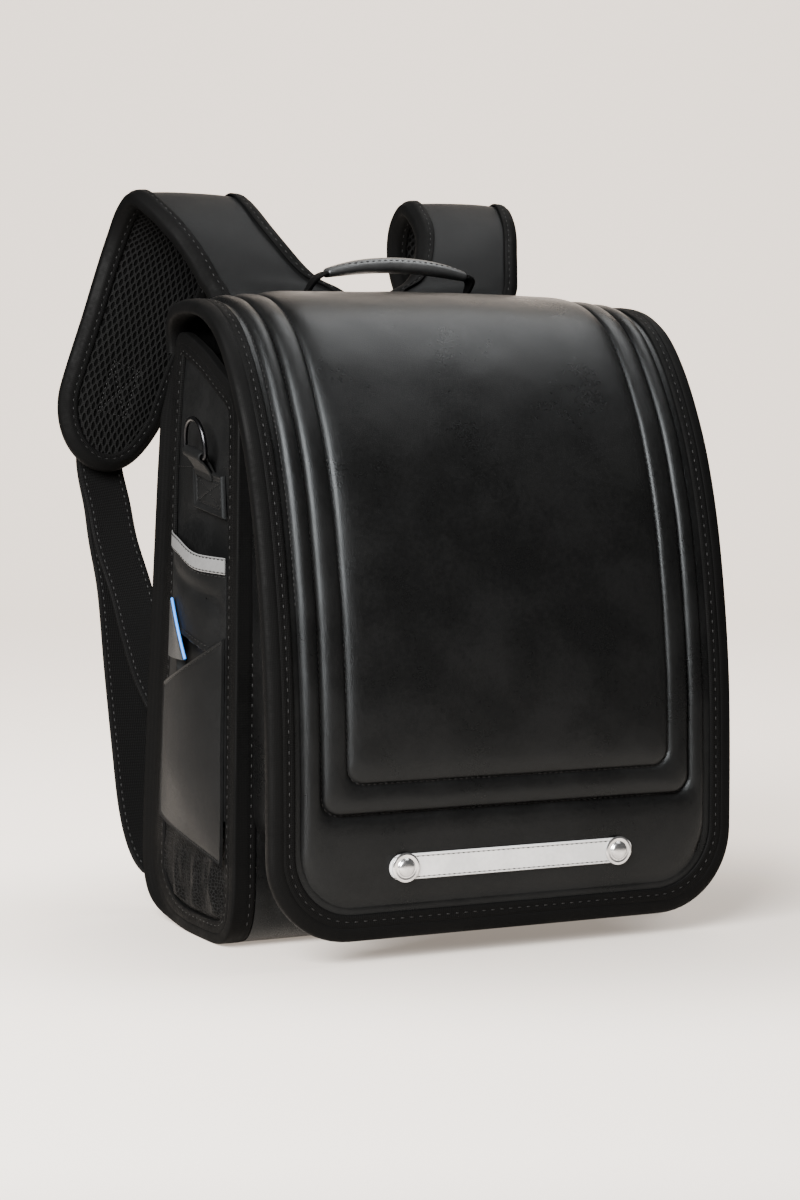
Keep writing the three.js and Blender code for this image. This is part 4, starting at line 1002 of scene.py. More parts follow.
def make_side_binding(tag, side):
    corners = side_corners
    normals = corner_normals
    height = corners[:, 1]
    on_top = normals[:, 1] > 0.4
    rear = (SIDE_ROWS[:, 0] > 0.5) & (height >= BACK_PAD_FOOT - 1)
    fade = ease((height - OUTLINE_LIFT) / 12) * (1 - ease((height - 0.86 * BODY_HEIGHT) / 30))
    flange = round_side(SEAM_FLANGE * ease(normals[:, 0] * 1.4) * fade)[:, 0]
    leg = np.where(on_top, MOUTH_LIP, np.where(rear, SEAM_LIP, SEAM_TAPE))
    leg = round_side(leg)[:, 0]
    wider = round_side(tape_more)[:, 0]
    skin = OUTLINE_LIFT
    # Columns: offset in the side's plane, its share of the flange and of the tape's growth,
    # then the distance out from the side and its share of the flange
    face = [(-SEAM_TAPE, 0, 1, 0.35, 0), (-SEAM_TAPE + 0.05, 0, 1, 1.6, 0), (-SEAM_TAPE + 0.5, 0, 1, 2.1, 0),
            (-9.2, 0, 1, 2.25, 0), (-8.2, 0, 1, 2.0, 0), (-7.2, 0, 0.9, 2.3, 0), (-4.4, 0, 0.4, 2.35, 0),
            (-3.9, 0, 0.3, 2.1, 0), (-3.4, 0, 0.2, 2.4, 0), (-2.2, 0, 0, 2.4, 0), (-1.0, 0.05, 0, 2.35, 0.1),
            (0.2, 0.45, 0, 2.3, 0.5), (1.2, 0.8, 0, 2.2, 0.86), (1.75, 0.97, 0, 1.95, 1.0),
            (2.1, 1.04, 0, 1.5, 0.98), (2.2, 0.98, 0, 0.9, 0.84), (2.2, 0.55, 0, 0.2, 0.4),
            (skin, 0.1, 0, -0.4, 0)]
    legs = [(skin, 0.1), (skin + 0.1, 0.42), (skin + 0.1, 0.6), (skin - 0.15, 0.7), (skin + 0.1, 0.8),
            (skin, 0.93), (skin - 0.5, 1.0)]
    rows = []
    for offset, more, grown, out, rise in face:
        rows.append((rim_dense(offset, more * flange - grown * wider), out + rise * flange))
    for offset, share in legs:
        rows.append((rim(offset), -np.maximum(share * leg, 0.45)))
    flat = [rim_dense(min(offset, CLEARANCE), -grown * wider) for offset, _, grown, _, _ in face]
    flat += [rim(CLEARANCE) for _ in legs]
    def lay(places, outs):
        return np.stack([side_point(side, place[:, 0], np.maximum(place[:, 1], 0), out)
                         for place, out in zip(places, outs)], 1)
    outer = lay([place for place, _ in rows], [out for _, out in rows])
    inner = lay(flat, [np.minimum(out, CLEARANCE) for _, out in rows])
    run = lengths(np.vstack([side_line, side_line[:1]]))[:-1]
    unrolled = [(row[0], row[3]) for row in face] + [(offset, -SEAM_TAPE * share) for offset, share in legs]
    width = lengths(np.array(unrolled))
    shape = wall(outer, inner, loop=True)
    uv = grid_uv(run[:, None], width[None, :])
    piece(f"side_edge_tape_{tag}", shape, SIDE_TAPE_FINISH, [f"side_binding_{tag}"], uv=uv)
    closed = rim_dense(-8.2, -wider)
    closed = np.vstack([closed, closed[:1]])
    sew_side(side, closed[:, 0], closed[:, 1], 2.05, "tape_stitches")
    front = (side_turn[:, 0] < -0.85) & (side_line[:, 1] > 14)
    run_front = rim(skin)[front]
    run_front = run_front[np.argsort(-run_front[:, 1])]
    seam = side_point(side, run_front[:, 0] - 0.05, run_front[:, 1], -0.7 * SEAM_TAPE)
    sew("tape_stitches", seam, (0, -1, 0))


def rim_dense(offset, more):
    """Outline moved out by an offset, and by more along it, where more is given on the filled-in line."""
    return rim(offset) + side_turn * np.asarray(more)[:, None]


def make_body_wall():
    front_top = int(np.argmax(np.where(side_line[:, 0] < -50, side_line[:, 1], -1)))
    order = np.arange(front_top, front_top + len(side_line)) % len(side_line)
    at_rear = (side_line[order, 0] > 60) & (side_line[order, 1] > BACK_PAD_FOOT - 1)
    order = order[:int(np.argmax(at_rear)) + 1]
    order = order[side_line[order, 1] <= WALL_TOP]
    outer_line = rim(OUTLINE_LIFT)[order]
    inner_line = rim(0)[order]
    height = side_line[order, 1]
    half = half_width(height) - SEAM_TAPE - CLEARANCE
    share = np.linspace(-1, 1, 70)[None, :]
    x = half[:, None] * share
    turned = side_turn[order]
    crease = sum(bump(x - side * CREASE_PLACE, 3.5) for side in (-1, 1)) * ease((70 - height) / 30)[:, None]
    crease = crease * ease((height - 12) / 10)[:, None] * (turned[:, 0] < -0.5)[:, None]
    soft = 0.25 * ripple(x, height[:, None], seed=31)
    sink = -1.5 * crease + soft * ease((1 - np.abs(share)) / 0.1)
    def lay(line, extra):
        y = line[:, :1] + turned[:, :1] * extra
        z = line[:, 1:] + turned[:, 1:] * extra
        return together(x, y, z)
    shape = wall(lay(outer_line, sink - 0.1), lay(inner_line, 0.6 * sink))
    piece("body_leather", shape, LEATHER, ["body_wall"])


def make_back_panel():
    z = np.linspace(BACK_PAD_FOOT, BACK_PAD_TOP, 130)[:, None]
    share = np.sin(np.linspace(-1, 1, 90) * math.pi / 2)[None, :]
    half = half_width(z) - SEAM_LIP - CLEARANCE
    x = share * half
    up = (z - BACK_PAD_FOOT) / (BACK_PAD_TOP - BACK_PAD_FOOT)
    edge = 1 - np.abs(share) ** 6
    swell = np.minimum(1, 6 * np.minimum(up, 1 - up) + ease((up - 0.5) * 3))
    pads = 1 - np.abs((np.abs(x) - 58) / 52) ** 3
    channel = 3.4 * bump(x, 7) + 1.6 * bump(np.abs(x) - 112, 2.2)
    for level in (104, 184, 262):
        channel = channel + 2.2 * bump(z - level, 3.2) * ease((112 - np.abs(x)) / 8)
    rise = BACK_PAD_EDGE + (BACK_PAD - BACK_PAD_EDGE) * edge * swell
    rise = rise - channel * ease(np.minimum(up, 1 - up) * 14) + 0.5 * np.clip(pads, 0, 1)
    rise = rise + 0.25 * ripple(x, z, seed=41)
    rise = rise * np.sqrt(np.clip((1 - np.abs(share)) / 0.01, 0.2, 1))
    outer = together(x, rear_at(z) + CLEARANCE + rise, z)
    inner = together(x, rear_at(z) + CLEARANCE, z)
    shape = wall(outer, inner)
    made = piece("padded_back", shape, LEATHER, ["back_panel"])


def flap_front(z):
    front = flap_line[1000:][::-1]
    return -np.interp(z, front[:, 1], front[:, 0])


def make_front_pocket():
    table = np.array([(0, 0), (1.2, 0.4), (4, 0.68), (10, 0.88), (20, 0.97), (50, 1.0)])
    shares = np.array([0, 0.08, 0.17, 0.26, 0.32, 0.345, 0.357, 0.37, 0.383, 0.395, 0.42, 0.47, 0.52, 0.57,
                       0.62, 0.67, 0.72, 0.77, 0.82, 0.86, 0.9, 0.94, 0.965, 0.985])
    insets = np.interp(shares, table[:, 1], np.sqrt(table[:, 0])) ** 2
    shares = np.concatenate([shares, [1.0] * 6])
    insets = np.concatenate([insets, [42, 56, 72, 90, 108, POCKET_WIDTH / 2]])
    height = POCKET_TOP - POCKET_FOOT
    body_face = BODY_FRONT + OUTLINE_LIFT
    def grid(thinner):
        rows = []
        for inset, share in zip(insets, shares):
            last = inset == insets[-1]
            seam = 0.8 * bump(share - 0.37, 0.012) - 0.35 * bump(share - 0.41, 0.012)
            place = inset + (0 if last else thinner) - (0 if thinner else seam)
            foot = min(max(place, 0), height / 2)
            corner = max(POCKET_CORNER - inset, 4)
            line = u_line(POCKET_WIDTH / 2 - place, height - foot, corner, leg=60, turn=12)
            z = POCKET_TOP - line[:, 1]
            depth = flap_front(z) - POCKET_GAP - body_face - CLEARANCE
            sag = 0 if last else ripple(line[:, 0], z, seed=51) * ease((POCKET_TOP - z) / 30)
            deep = np.maximum(share * depth + 0.72 * sag * bump(share - 0.75, 0.25) - thinner, 0)
            rows.append(np.stack([line[:, 0], -body_face - CLEARANCE - deep, z], axis=1))
        return rows
    shape = wall(grid(0), grid(WALL), far_rim=False)
    piece("front_pouch", shape, LEATHER, ["front_pocket"])


def finish_magnet():
    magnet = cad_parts["flap_magnet"]
    magnet.data.materials.clear()
    magnet.data.materials.append(GUNMETAL)


# Side pockets

SIDE_FRONT = -BODY_FRONT + SEAM_TAPE + CLEARANCE


def side_rear(z):
    return rear_at(np.maximum(z, BACK_PAD_FOOT)) - rear_tape(z) - 2 * CLEARANCE


def swelling(y, z):
    rear = side_rear(z)
    across = (2 * y - SIDE_FRONT - rear) / (rear - SIDE_FRONT)
    return SIDE_BULGE * np.maximum(0, 1 - across ** 2) * ease((z - 30) / 70)


CUFF_SAG = 4
# Heights of the pocket's foot and of the tops of the lip and the net, as shares of the body's height
POCKET_SEAM = 0.21
LIP_TOP = 0.561
NET_TOP = 0.2
# Ends of the dart in the pocket's leather, as distance to the back and height
DART_REAR = (1.0, 168.6)
DART_FRONT = (-28.0, 160.7)

# Height of the pocket's hem, as a share of the body's height, from front to back
HEM_ROWS = np.array([(0, 0.64), (0.35, 0.645), (0.65, 0.67), (1, 0.678)])


def hem_at(back):
    fine = np.linspace(0, 1, 101)
    smooth = soften(np.interp(fine, HEM_ROWS[:, 0], HEM_ROWS[:, 1]), 7)
    return BODY_HEIGHT * np.interp(back, fine, smooth)


def cuff_top(back):
    return BODY_HEIGHT * mix(0.51, 0.42, back) - CUFF_SAG * (1 - (2 * back - 1) ** 2)


def cuff_foot(back):
    return BODY_HEIGHT * mix(0.135, 0.187, back)


def on_pocket(y, z):
    return STACK + swelling(y, z)


def on_patch(y, z):
    return on_pocket(y, z) + SHEET + STACK


def roll(distance, height=0.5):
    """Turned edge of a sheet: round at its rim, raised, with a sunk stitch line behind it."""
    rim_part = np.sqrt(np.clip(distance / 0.7, 0.02, 1))
    return height * bump(distance - 1.1, 0.9) - 0.35 * bump(distance - 2.6, 0.6), rim_part


def side_leather(name, side, low_of, high_of, base_of, node, edges, height, more_of, columns=56, rows=48):
    """A sheet on the side between two heights; edges say if its front, rear, foot and top are turned."""
    share = (1 - np.cos(np.linspace(0, math.pi, columns))) / 2
    share = 0.5 * share + 0.5 * np.linspace(0, 1, columns)
    back = share[:, None]
    climb = 0.5 * (1 - np.cos(np.linspace(0, math.pi, rows))) / 2 + 0.5 * np.linspace(0, 1, rows)
    up = (climb / climb[-1])[None, :]
    z = mix(low_of(back), high_of(back), up)
    y = mix(SIDE_FRONT, side_rear(z), back)
    width = side_rear(z) - SIDE_FRONT
    tall = high_of(back) - low_of(back)
    gaps = [back * width, (1 - back) * width, up * tall, (1 - up) * tall]
    nearest = np.full(y.shape, 99.0)
    for kept, distance in zip(edges, gaps):
        if kept:
            nearest = np.minimum(nearest, distance)
    raised, rim_part = roll(nearest, height)
    skin = SHEET * rim_part + raised + more_of(y, z)
    base = base_of(y, z)
    outer = side_point(side, y, z, base + skin)
    inner = side_point(side, y, z, base)
    shape = wall(outer, inner)
    piece(name, shape, SIDE_LEATHER, [node], uv=grid_uv(y, z))


def make_side_pockets(tag, side):
    low = POCKET_SEAM * BODY_HEIGHT
    def dart(y):
        return np.interp(y, (DART_FRONT[0], DART_REAR[0]), (DART_FRONT[1], DART_REAR[1]))
    def below_dart(y, z):
        beside = ease((DART_REAR[0] + 12 - y) / 4) * ease((y - DART_FRONT[0] + 6) / 5)
        return ease((dart(y) - z) / 1.6) * beside
    def wrinkle(y, z):
        soft = 0.5 * ripple(1.3 * y, z, seed=61) * ease((z - 120) / 30) * ease(swelling(y, z) / 3)
        sag = -1.3 * bump(z - 200 - 0.25 * (y - 10), 5) * ease(swelling(y, z) / 4)
        return soft + sag + 0.7 * bump(z - dart(y) - 1.2, 1.3) * ease((DART_REAR[0] + 8 - y) / 4)
    side_leather(f"pocket_leather_{tag}", side, lambda back: low + 0 * back, lambda back: hem_at(back) - 2.4,
                 lambda y, z: on_pocket(y, z) - np.minimum(4.5, 0.65 * swelling(y, z)) * below_dart(y, z),
                 f"side_pocket_{tag}", (0, 0, 0, 1), 0.3, wrinkle, columns=76, rows=120)
    line = np.linspace(DART_FRONT[0] - 4, DART_REAR[0] + 6, 24)
    height = dart(line) + 3.4
    sew_side(side, line, height, on_pocket(line, height) + SHEET + 0.25)
    share = np.linspace(0, 1, 70)[:, None]
    up = np.array([0, 0.03, 0.12, 0.35, 0.65, 0.88, 0.97, 1])[None, :]
    z = mix(hem_at(share) - HEM_WIDTH, hem_at(share), up)
    y = mix(SIDE_FRONT, side_rear(z), share)
    thick = 0.25 + 0.4 * np.minimum(1, np.sqrt(np.minimum(up, 1 - up) / 0.1))
    base = on_patch(y, z)
    shape = wall(side_point(side, y, z, base + thick), side_point(side, y, z, base))
    uv = grid_uv(y, (up - 0.5) * (HEM_WIDTH - 1) + 0 * y)
    piece(f"hem_tape_{tag}", shape, GREY_TAPE, [f"pocket_reflector_{tag}"], uv=uv)
    side_leather(f"cuff_leather_{tag}", side, cuff_foot, cuff_top, on_patch, f"cuff_{tag}",
                 (0, 1, 1, 1), 0.55, lambda y, z: 0.2 * ripple(y, z, seed=71))
    line = np.linspace(0.02, 0.98, 40)
    for drop in (1.1, HEM_WIDTH - 0.9, HEM_WIDTH + 1.4):
        z = hem_at(line) - drop
        y = mix(SIDE_FRONT, side_rear(z), line)
        out = on_patch(y, z) + 0.66 if drop < HEM_WIDTH else on_pocket(y, z) + SHEET + 0.25
        sew_side(side, y, z, out)
    margin = 2.6
    share = np.linspace(0.02, 0.97, 40)
    for z in (cuff_top(share) - margin, cuff_foot(share) + margin):
        y = mix(SIDE_FRONT, side_rear(z), share)
        sew_side(side, y, z, on_patch(y, z) + SHEET - 0.05)
    z = np.linspace(cuff_foot(1) + margin, cuff_top(1) - margin, 30)
    y = side_rear(z) - margin
    sew_side(side, y, z, on_patch(y, z) + SHEET - 0.05)


NET_FOLDS = 4.4


def make_net_piece(tag, side):
    edge = rim(-SEAM_TAPE - tape_more - CLEARANCE)
    foot = edge[(edge[:, 1] < 70) & (edge[:, 0] > SIDE_FRONT - 1)]
    foot = foot[np.argsort(foot[:, 0])]
    keep = np.concatenate([[True], np.diff(np.maximum.accumulate(foot[:, 0])) > 1e-6])
    foot = foot[keep]
    foot = foot[foot[:, 1] < 45]
    top = NET_TOP * BODY_HEIGHT
    def low(back):
        y = mix(SIDE_FRONT, side_rear(BACK_PAD_FOOT), back)
        return np.interp(y, foot[:, 0], foot[:, 1]) + CLEARANCE
    share = np.linspace(0, 1, 110)[:, None]
    up = np.linspace(0, 1, 44)[None, :]
    z = mix(low(share), top, up)
    y = mix(SIDE_FRONT, side_rear(z), share)
    fade = 1 - ease((z - 0.1 * BODY_HEIGHT) / (0.06 * BODY_HEIGHT))
    lean = 0.1 * (z - 20) * np.sin(y / 13 + 0.6)
    wave = 0.5 - 0.5 * np.cos(math.tau * NET_FOLDS * (y + lean - SIDE_FRONT) / (BODY_BACK + BODY_FRONT))
    fold = 3.4 * wave ** 1.6 * (0.25 + 0.75 * fade) + 0.9 * ripple(5 * y, 1.5 * z, seed=81) * fade
    fold = fold + 0.4 * ripple(13 * y, 4 * z, seed=83) * fade
    fold = np.maximum(fold, 0) * ease(np.minimum(up * 12, 1))
    puff = 2.0 * (1 - (2 * share - 1) ** 2) * ease(up * 2.5)
    lift = CLEARANCE + fold + np.minimum(puff, 1.2) * fade
    shape = wall(side_point(side, y, z, lift + 0.5), side_point(side, y, z, lift))
    run = lengths(np.stack([y[:, 20], lift[:, 20]], axis=1))
    uv = grid_uv(run[:, None], z)
    made = piece(f"gathered_net_{tag}", shape, NET, [f"net_{tag}"], uv=uv, sharp=0)


def make_lip(tag, side):
    top = LIP_TOP * BODY_HEIGHT
    depth = side_rear(top) - SIDE_FRONT
    def foot(y):
        back = (y - SIDE_FRONT) / (side_rear(cuff_top(1)) - SIDE_FRONT)
        return cuff_top(np.clip(back, 0, 1)) + 1.5
    def edge_y(share):
        return SIDE_FRONT + depth * mix(0.79, 0.459, share ** 0.8)
    share = np.linspace(0, 1, 48)
    y = edge_y(share)
    z = mix(top, foot(edge_y(1.0)) + 1, share)
    up = np.linspace(0, 1, 24)[None, :]
    grid_y = mix(edge_y(0.0) + 8, y[:, None], up)
    grid_z = np.maximum(z[:, None], foot(grid_y) + up)
    curl = 0.7 * ease((up - 0.6) / 0.4)
    outer = side_point(side, grid_y, grid_z, on_patch(grid_y, grid_z) + 1.2 + curl)
    inner = side_point(side, grid_y, grid_z, on_patch(grid_y, grid_z))
    shape = wall(outer, inner)
    piece(f"lip_leather_{tag}", shape, GRIP_LEATHER, [f"pocket_lip_{tag}"])
    run = unit(np.gradient(np.stack([y, z], axis=1), axis=0))
    turn = np.linspace(0, math.tau, 13)[:-1][None, :]
    offset = PIPING_RADIUS * np.cos(turn) + CLEARANCE + PIPING_RADIUS
    ring_y = y[:, None] + run[:, 1:] * offset
    ring_z = z[:, None] - run[:, :1] * offset
    rings = side_point(side, ring_y, ring_z, on_patch(ring_y, ring_z) + PIPING_RADIUS * (1 + np.sin(turn)))
    shape = tube(rings)
    along = lengths(np.stack([y, z], axis=1))
    uv = together(along[:, None], 0.9 * turn).reshape(-1, 2)
    piece(f"blue_piping_{tag}", shape, BLUE, [f"piping_{tag}"], uv=uv)


# Ring and its tab

def ring_point(side, along, up, out):
    """A point near the ring, from a place along its bar, the rise over the bar and the distance out."""
    tilt = math.radians(RING_TILT)
    y = RING_Y + along * math.cos(tilt) - up * math.sin(tilt)
    z = RING_Z + along * math.sin(tilt) + up * math.cos(tilt)
    return together(side * (half_width(RING_Z) + out), y, z)


def bezier(points, count):
    points = np.asarray(points, float)
    t = np.linspace(0, 1, count)[:, None]
    order = len(points) - 1
    return sum(math.comb(order, i) * (1 - t) ** (order - i) * t ** i * points[i] for i in range(order + 1))


def make_ring(tag, side):
    half = RING_WIDTH / 2 - RING_WIRE
    corner = 2
    reach = RING_HEIGHT - 2 * RING_WIRE
    rise = reach - half
    bow = 0.5523 * half
    parts = [
        bezier([(-half + corner, 0), (half - corner, 0)], 24),
        bezier([(half - corner, 0), (half, 0), (half, corner)], 8),
        bezier([(half, corner), (half, rise)], 4),
        bezier([(half, rise), (half, rise + bow), (bow, reach), (0, reach)], 24),
        bezier([(0, reach), (-bow, reach), (-half, rise + bow), (-half, rise)], 24),
        bezier([(-half, rise), (-half, corner)], 4),
        bezier([(-half, corner), (-half, 0), (-half + corner, 0)], 8),
    ]
    path = even(np.vstack([part[:-1] for part in parts] + [parts[0][:1]]), 109)[:-1]
    path = soften(path, 1.2, closed=True)
    lean = math.radians(RING_LEAN)
    run = unit(np.roll(path, -1, axis=0) - np.roll(path, 1, axis=0))
    normal = np.stack([run[:, 1], -run[:, 0]], axis=1)
    turn = np.linspace(0, math.tau, 17)[:-1]
    rings = []
    for place, side_way in zip(path, normal):
        flat = place + RING_WIRE * np.cos(turn)[:, None] * side_way
        out = RING_WIRE * np.sin(turn)
        up = flat[:, 1]
        rings.append(ring_point(side, flat[:, 0], up * math.cos(lean) - out * math.sin(lean),
                                RING_OUT + up * math.sin(lean) + out * math.cos(lean)))
    node = f"d_ring_{tag}"
    piece(f"ring_{tag}", tube(rings, closed=True), GUNMETAL, [node], body=node, sharp=0)


def make_tab(tag, side):
    bend = RING_WIRE + 0.45 + TAB / 2
    flat = STACK + TAB / 2
    path = [(-14, flat + 0.3), (-11, flat + 0.3), (-8.5, flat)]
    for turn in np.linspace(200, -85, 40):
        angle = math.radians(turn)
        path.append((bend * math.sin(angle), RING_OUT + bend * math.cos(angle)))
    path += [(-6.5, RING_OUT - 3.2), (-9.5, RING_OUT - 5.2), (-13, flat + 1.6)]
    path = soften(even(np.array(path), 90), 1.6)
    run = unit(np.gradient(path, axis=0))
    normal = np.stack([-run[:, 1], run[:, 0]], axis=1)
    share = np.array([-1, -0.985, -0.93, -0.85, -0.5, 0, 0.5, 0.85, 0.93, 0.985, 1])
    thick = TAB / 2 * np.array([0.25, 0.7, 1, 0.92, 1, 1, 1, 0.92, 1, 0.7, 0.25])
    def skin(sign):
        grid = []
        for place, way in zip(path, normal):
            at = place + sign * thick[:, None] * way
            grid.append(ring_point(side, share * TAB_WIDTH / 2, at[:, 0], at[:, 1]))
        return grid
    shape = wall(skin(1), skin(-1))
    piece(f"ring_loop_{tag}", shape, SIDE_LEATHER, [f"ring_tab_{tag}"])
    def on_side(across, rise, lift):
        y = PATCH_Y + across + PATCH_SKEW * rise
        z = PATCH_Z + rise + PATCH_SKEW * across
        return side_point(side, y, z, lift)
    across = (np.linspace(-0.5, 0.5, 87) * PATCH_WIDTH)[:, None]
    rise = (np.linspace(-0.5, 0.5, 49) * PATCH_HEIGHT)[None, :]
    gap = np.minimum(PATCH_WIDTH / 2 - np.abs(across), PATCH_HEIGHT / 2 - np.abs(rise))
    raised, rim_part = roll(gap, 0.4)
    half_box = np.array([PATCH_WIDTH / 2 - 4.6, PATCH_HEIGHT / 2 - 4.6])
    slope = half_box[1] / half_box[0]
    near_cross = np.minimum(np.abs(rise - slope * across), np.abs(rise + slope * across)) * (gap > 4.6)
    groove = bump(gap - 4.6, 0.55) + bump(near_cross, 0.5) * (gap > 4.6)
    border = 0.7 * (1 - ease((gap - 3.0) / 1.0))
    lift = STACK + TAB * rim_part + raised + border - 0.45 * np.minimum(groove, 1)
    shape = wall(on_side(across, rise, lift), on_side(across, rise, STACK + 0 * lift))
    piece(f"ring_patch_{tag}", shape, SIDE_LEATHER, [f"ring_tab_{tag}"])
    corners = np.array([(-1, -1), (1, -1), (1, 1), (-1, 1), (-1, -1), (1, 1)]) * half_box
    for line in (corners, np.array([(-1, 1), (1, -1)]) * half_box):
        line = even(line, 80)
        sew("dark_side_stitches", on_side(line[:, 0], line[:, 1], STACK + TAB - 0.1), (side, 0, 0))


# Shoulder straps: columns are shares of the spread, the reach and the rise, and of the strap's width

STRAP_ROWS = np.array([
    (0.407, 0.377, 0.727, 1.194), (0.411, 0.358, 0.801, 1.208), (0.415, 0.439, 0.86, 1.222),
    (0.478, 0.465, 0.876, 1.056), (0.522, 0.494, 0.895, 0.958), (0.57, 0.554, 0.926, 0.917),
    (0.615, 0.627, 0.956, 0.917), (0.644, 0.713, 0.981, 0.958), (0.667, 0.822, 1.0, 1.0),
    (0.678, 0.924, 0.977, 1.014), (0.7, 0.981, 0.933, 1.014), (0.763, 1.0, 0.873, 0.972),
    (0.837, 1.0, 0.809, 0.931), (0.918, 0.997, 0.742, 0.9), (0.974, 0.99, 0.687, 0.89),
    (1.004, 0.981, 0.616, 0.861),
])
strap_places = np.linspace(0, 1, 601)
strap_corners = STRAP_ROWS[:, :3] * (STRAP_SPREAD, STRAP_REACH, STRAP_RISE)
strap_line = soften(loose_spline(strap_corners, strap_places), 9)
strap_half = soften(np.interp(strap_places, np.linspace(0, 1, 16), STRAP_ROWS[:, 3]), 16) * STRAP_WIDTH / 2
strap_way = unit(soften(np.gradient(strap_line, axis=0), 5))
STRAP_LENGTH = lengths(strap_line)[-1]
ROUND_SHARE = 0.44 * STRAP_WIDTH / STRAP_LENGTH


def strap_frame(share):
    share = np.atleast_1d(np.asarray(share, float))
    read = lambda line: np.stack([np.interp(share, strap_places, line[:, axis]) for axis in range(3)], axis=1)
    middle, run = read(strap_line), unit(read(strap_way))
    across = np.tile([1.0, 0, 0], (len(share), 1))
    normal = unit(np.cross(run, across))
    slant = ease((share - 0.5) / 0.12)
    across = unit(across - run * (run[:, 0] * slant)[:, None])
    return middle, run, across, normal, np.interp(share, strap_places, strap_half)


straight = np.linspace(0, 1 - ROUND_SHARE, 190)
# The binding and the mesh begin at this place along the strap, past the part sewn to the yoke
FIRST_STATION = 18
end_turn = np.radians(np.linspace(4, 87, 22))
station_share = np.concatenate([straight, 1 - ROUND_SHARE * (1 - np.sin(end_turn))])
station_left = np.concatenate([np.ones(len(straight)), np.cos(end_turn)])


def pad_rise(column, left):
    swell = (1 - np.abs(column) ** 2.5) * left ** 3
    return STRAP_EDGE + (STRAP_THICKNESS - STRAP_EDGE) * swell


def pad_grid(columns, sign, more, side):
    middle, _, across, normal, half = strap_frame(station_share)
    left = station_left[:, None]
    offset = columns * half[:, None] * left
    lift = sign * (pad_rise(columns, left) / 2 + more)
    grid = middle[:, None] + across[:, None] * offset[..., None] + normal[:, None] * lift[..., None]
    return grid * (side, 1, 1)


# Sewn box on the inner face of each strap: its place as a share of the length, and half its sizes
BOX_SHARE = 0.885
BOX_TALL = 13
BOX_WIDE = 8.5


def box_lines(along, offset):
    """Distance to the sewn box and to the cross in it."""
    high, wide = np.abs(along), np.abs(offset)
    border = np.abs(np.maximum(high / BOX_TALL, wide / BOX_WIDE) - 1) * BOX_WIDE
    cross = np.abs(high / BOX_TALL - wide / BOX_WIDE) * 0.7 * BOX_WIDE
    inside = (high < BOX_TALL) & (wide < BOX_WIDE)
    return np.where(inside, np.minimum(border, cross), border)


def make_strap(tag, side):
    columns = np.sin(np.linspace(-1, 1, 25) * math.pi / 2)[None, :]
    share = station_share[:, None]
    uneven = 0.3 * ripple(40 * columns, 380 * share, seed=91) * (1 - np.abs(columns) ** 4)
    shape = wall(pad_grid(columns, 1, 0.5 * uneven, side), pad_grid(columns, -1, uneven, side))
    made = piece(f"strap_leather_{tag}", shape, STRAP_LEATHER, [f"strap_pad_{tag}"])
    places = station_share[FIRST_STATION:]
    middle, _, across, normal, half = strap_frame(places)
    left = station_left[FIRST_STATION:, None]
    reach = half[:, None] * left
    keep = reach[:, 0] > STRAP_TAPE + 3
    cover = 1 - (STRAP_TAPE - 1.5) / np.maximum(reach, STRAP_TAPE)
    level = np.linspace(-1, 1, 45)[None, :]
    ratio = level * np.clip(cover, 0.05, 1)
    offset = ratio * reach
    along = (places[:, None] - BOX_SHARE) * STRAP_LENGTH
    quilt = 0.9 * (1 - np.abs(level) ** 4) * (1 - 0.95 * bump(box_lines(along, offset), 1.7))
    def skin(more):
        lift = pad_rise(ratio, left) / 2 + more + quilt
        grid = middle[:, None] + across[:, None] * offset[..., None] + normal[:, None] * lift[..., None]
        return (grid * (side, 1, 1))[keep]
    uv = grid_uv((places * STRAP_LENGTH)[keep][:, None], offset[keep])
    shape = wall(skin(0.7), skin(0.25))
    piece(f"strap_mesh_{tag}", shape, AIR_MESH, uv=uv)
    make_strap_binding(tag, side)
    for line in strap_box():
        middle, _, across, normal, _ = strap_frame(line[:, 0])
        at = middle + across * line[:, 1:] + normal * (STRAP_THICKNESS / 2 + 0.8)
        sew("strap_box_stitches", at * (side, 1, 1), normal * (side, 1, 1))


def strap_box():
    """Sewn box with a cross, as lines of (share along, offset across)."""
    half = BOX_TALL / STRAP_LENGTH
    low, high, wide = BOX_SHARE - half, BOX_SHARE + half, BOX_WIDE
    loop = np.array([(low, -wide), (high, -wide), (high, wide), (low, wide), (low, -wide), (high, wide)])
    cross = np.array([(low, wide), (high, -wide)])
    return [at_lengths(line, range(len(line)), np.linspace(0, len(line) - 1, 16 * len(line)))
            for line in (loop, cross)]


def strap_rim():
    middle, run, across, normal, half = strap_frame(station_share[FIRST_STATION:])
    left = station_left[FIRST_STATION:, None]
    legs = []
    for hand in (-1, 1):
        point = middle + across * hand * half[:, None] * left
        out = unit(across * hand * left + run * np.sqrt(np.maximum(1 - left ** 2, 0)))
        legs.append((point, out, normal))
    return [np.vstack([a, b[::-1]]) for a, b in zip(*legs)]


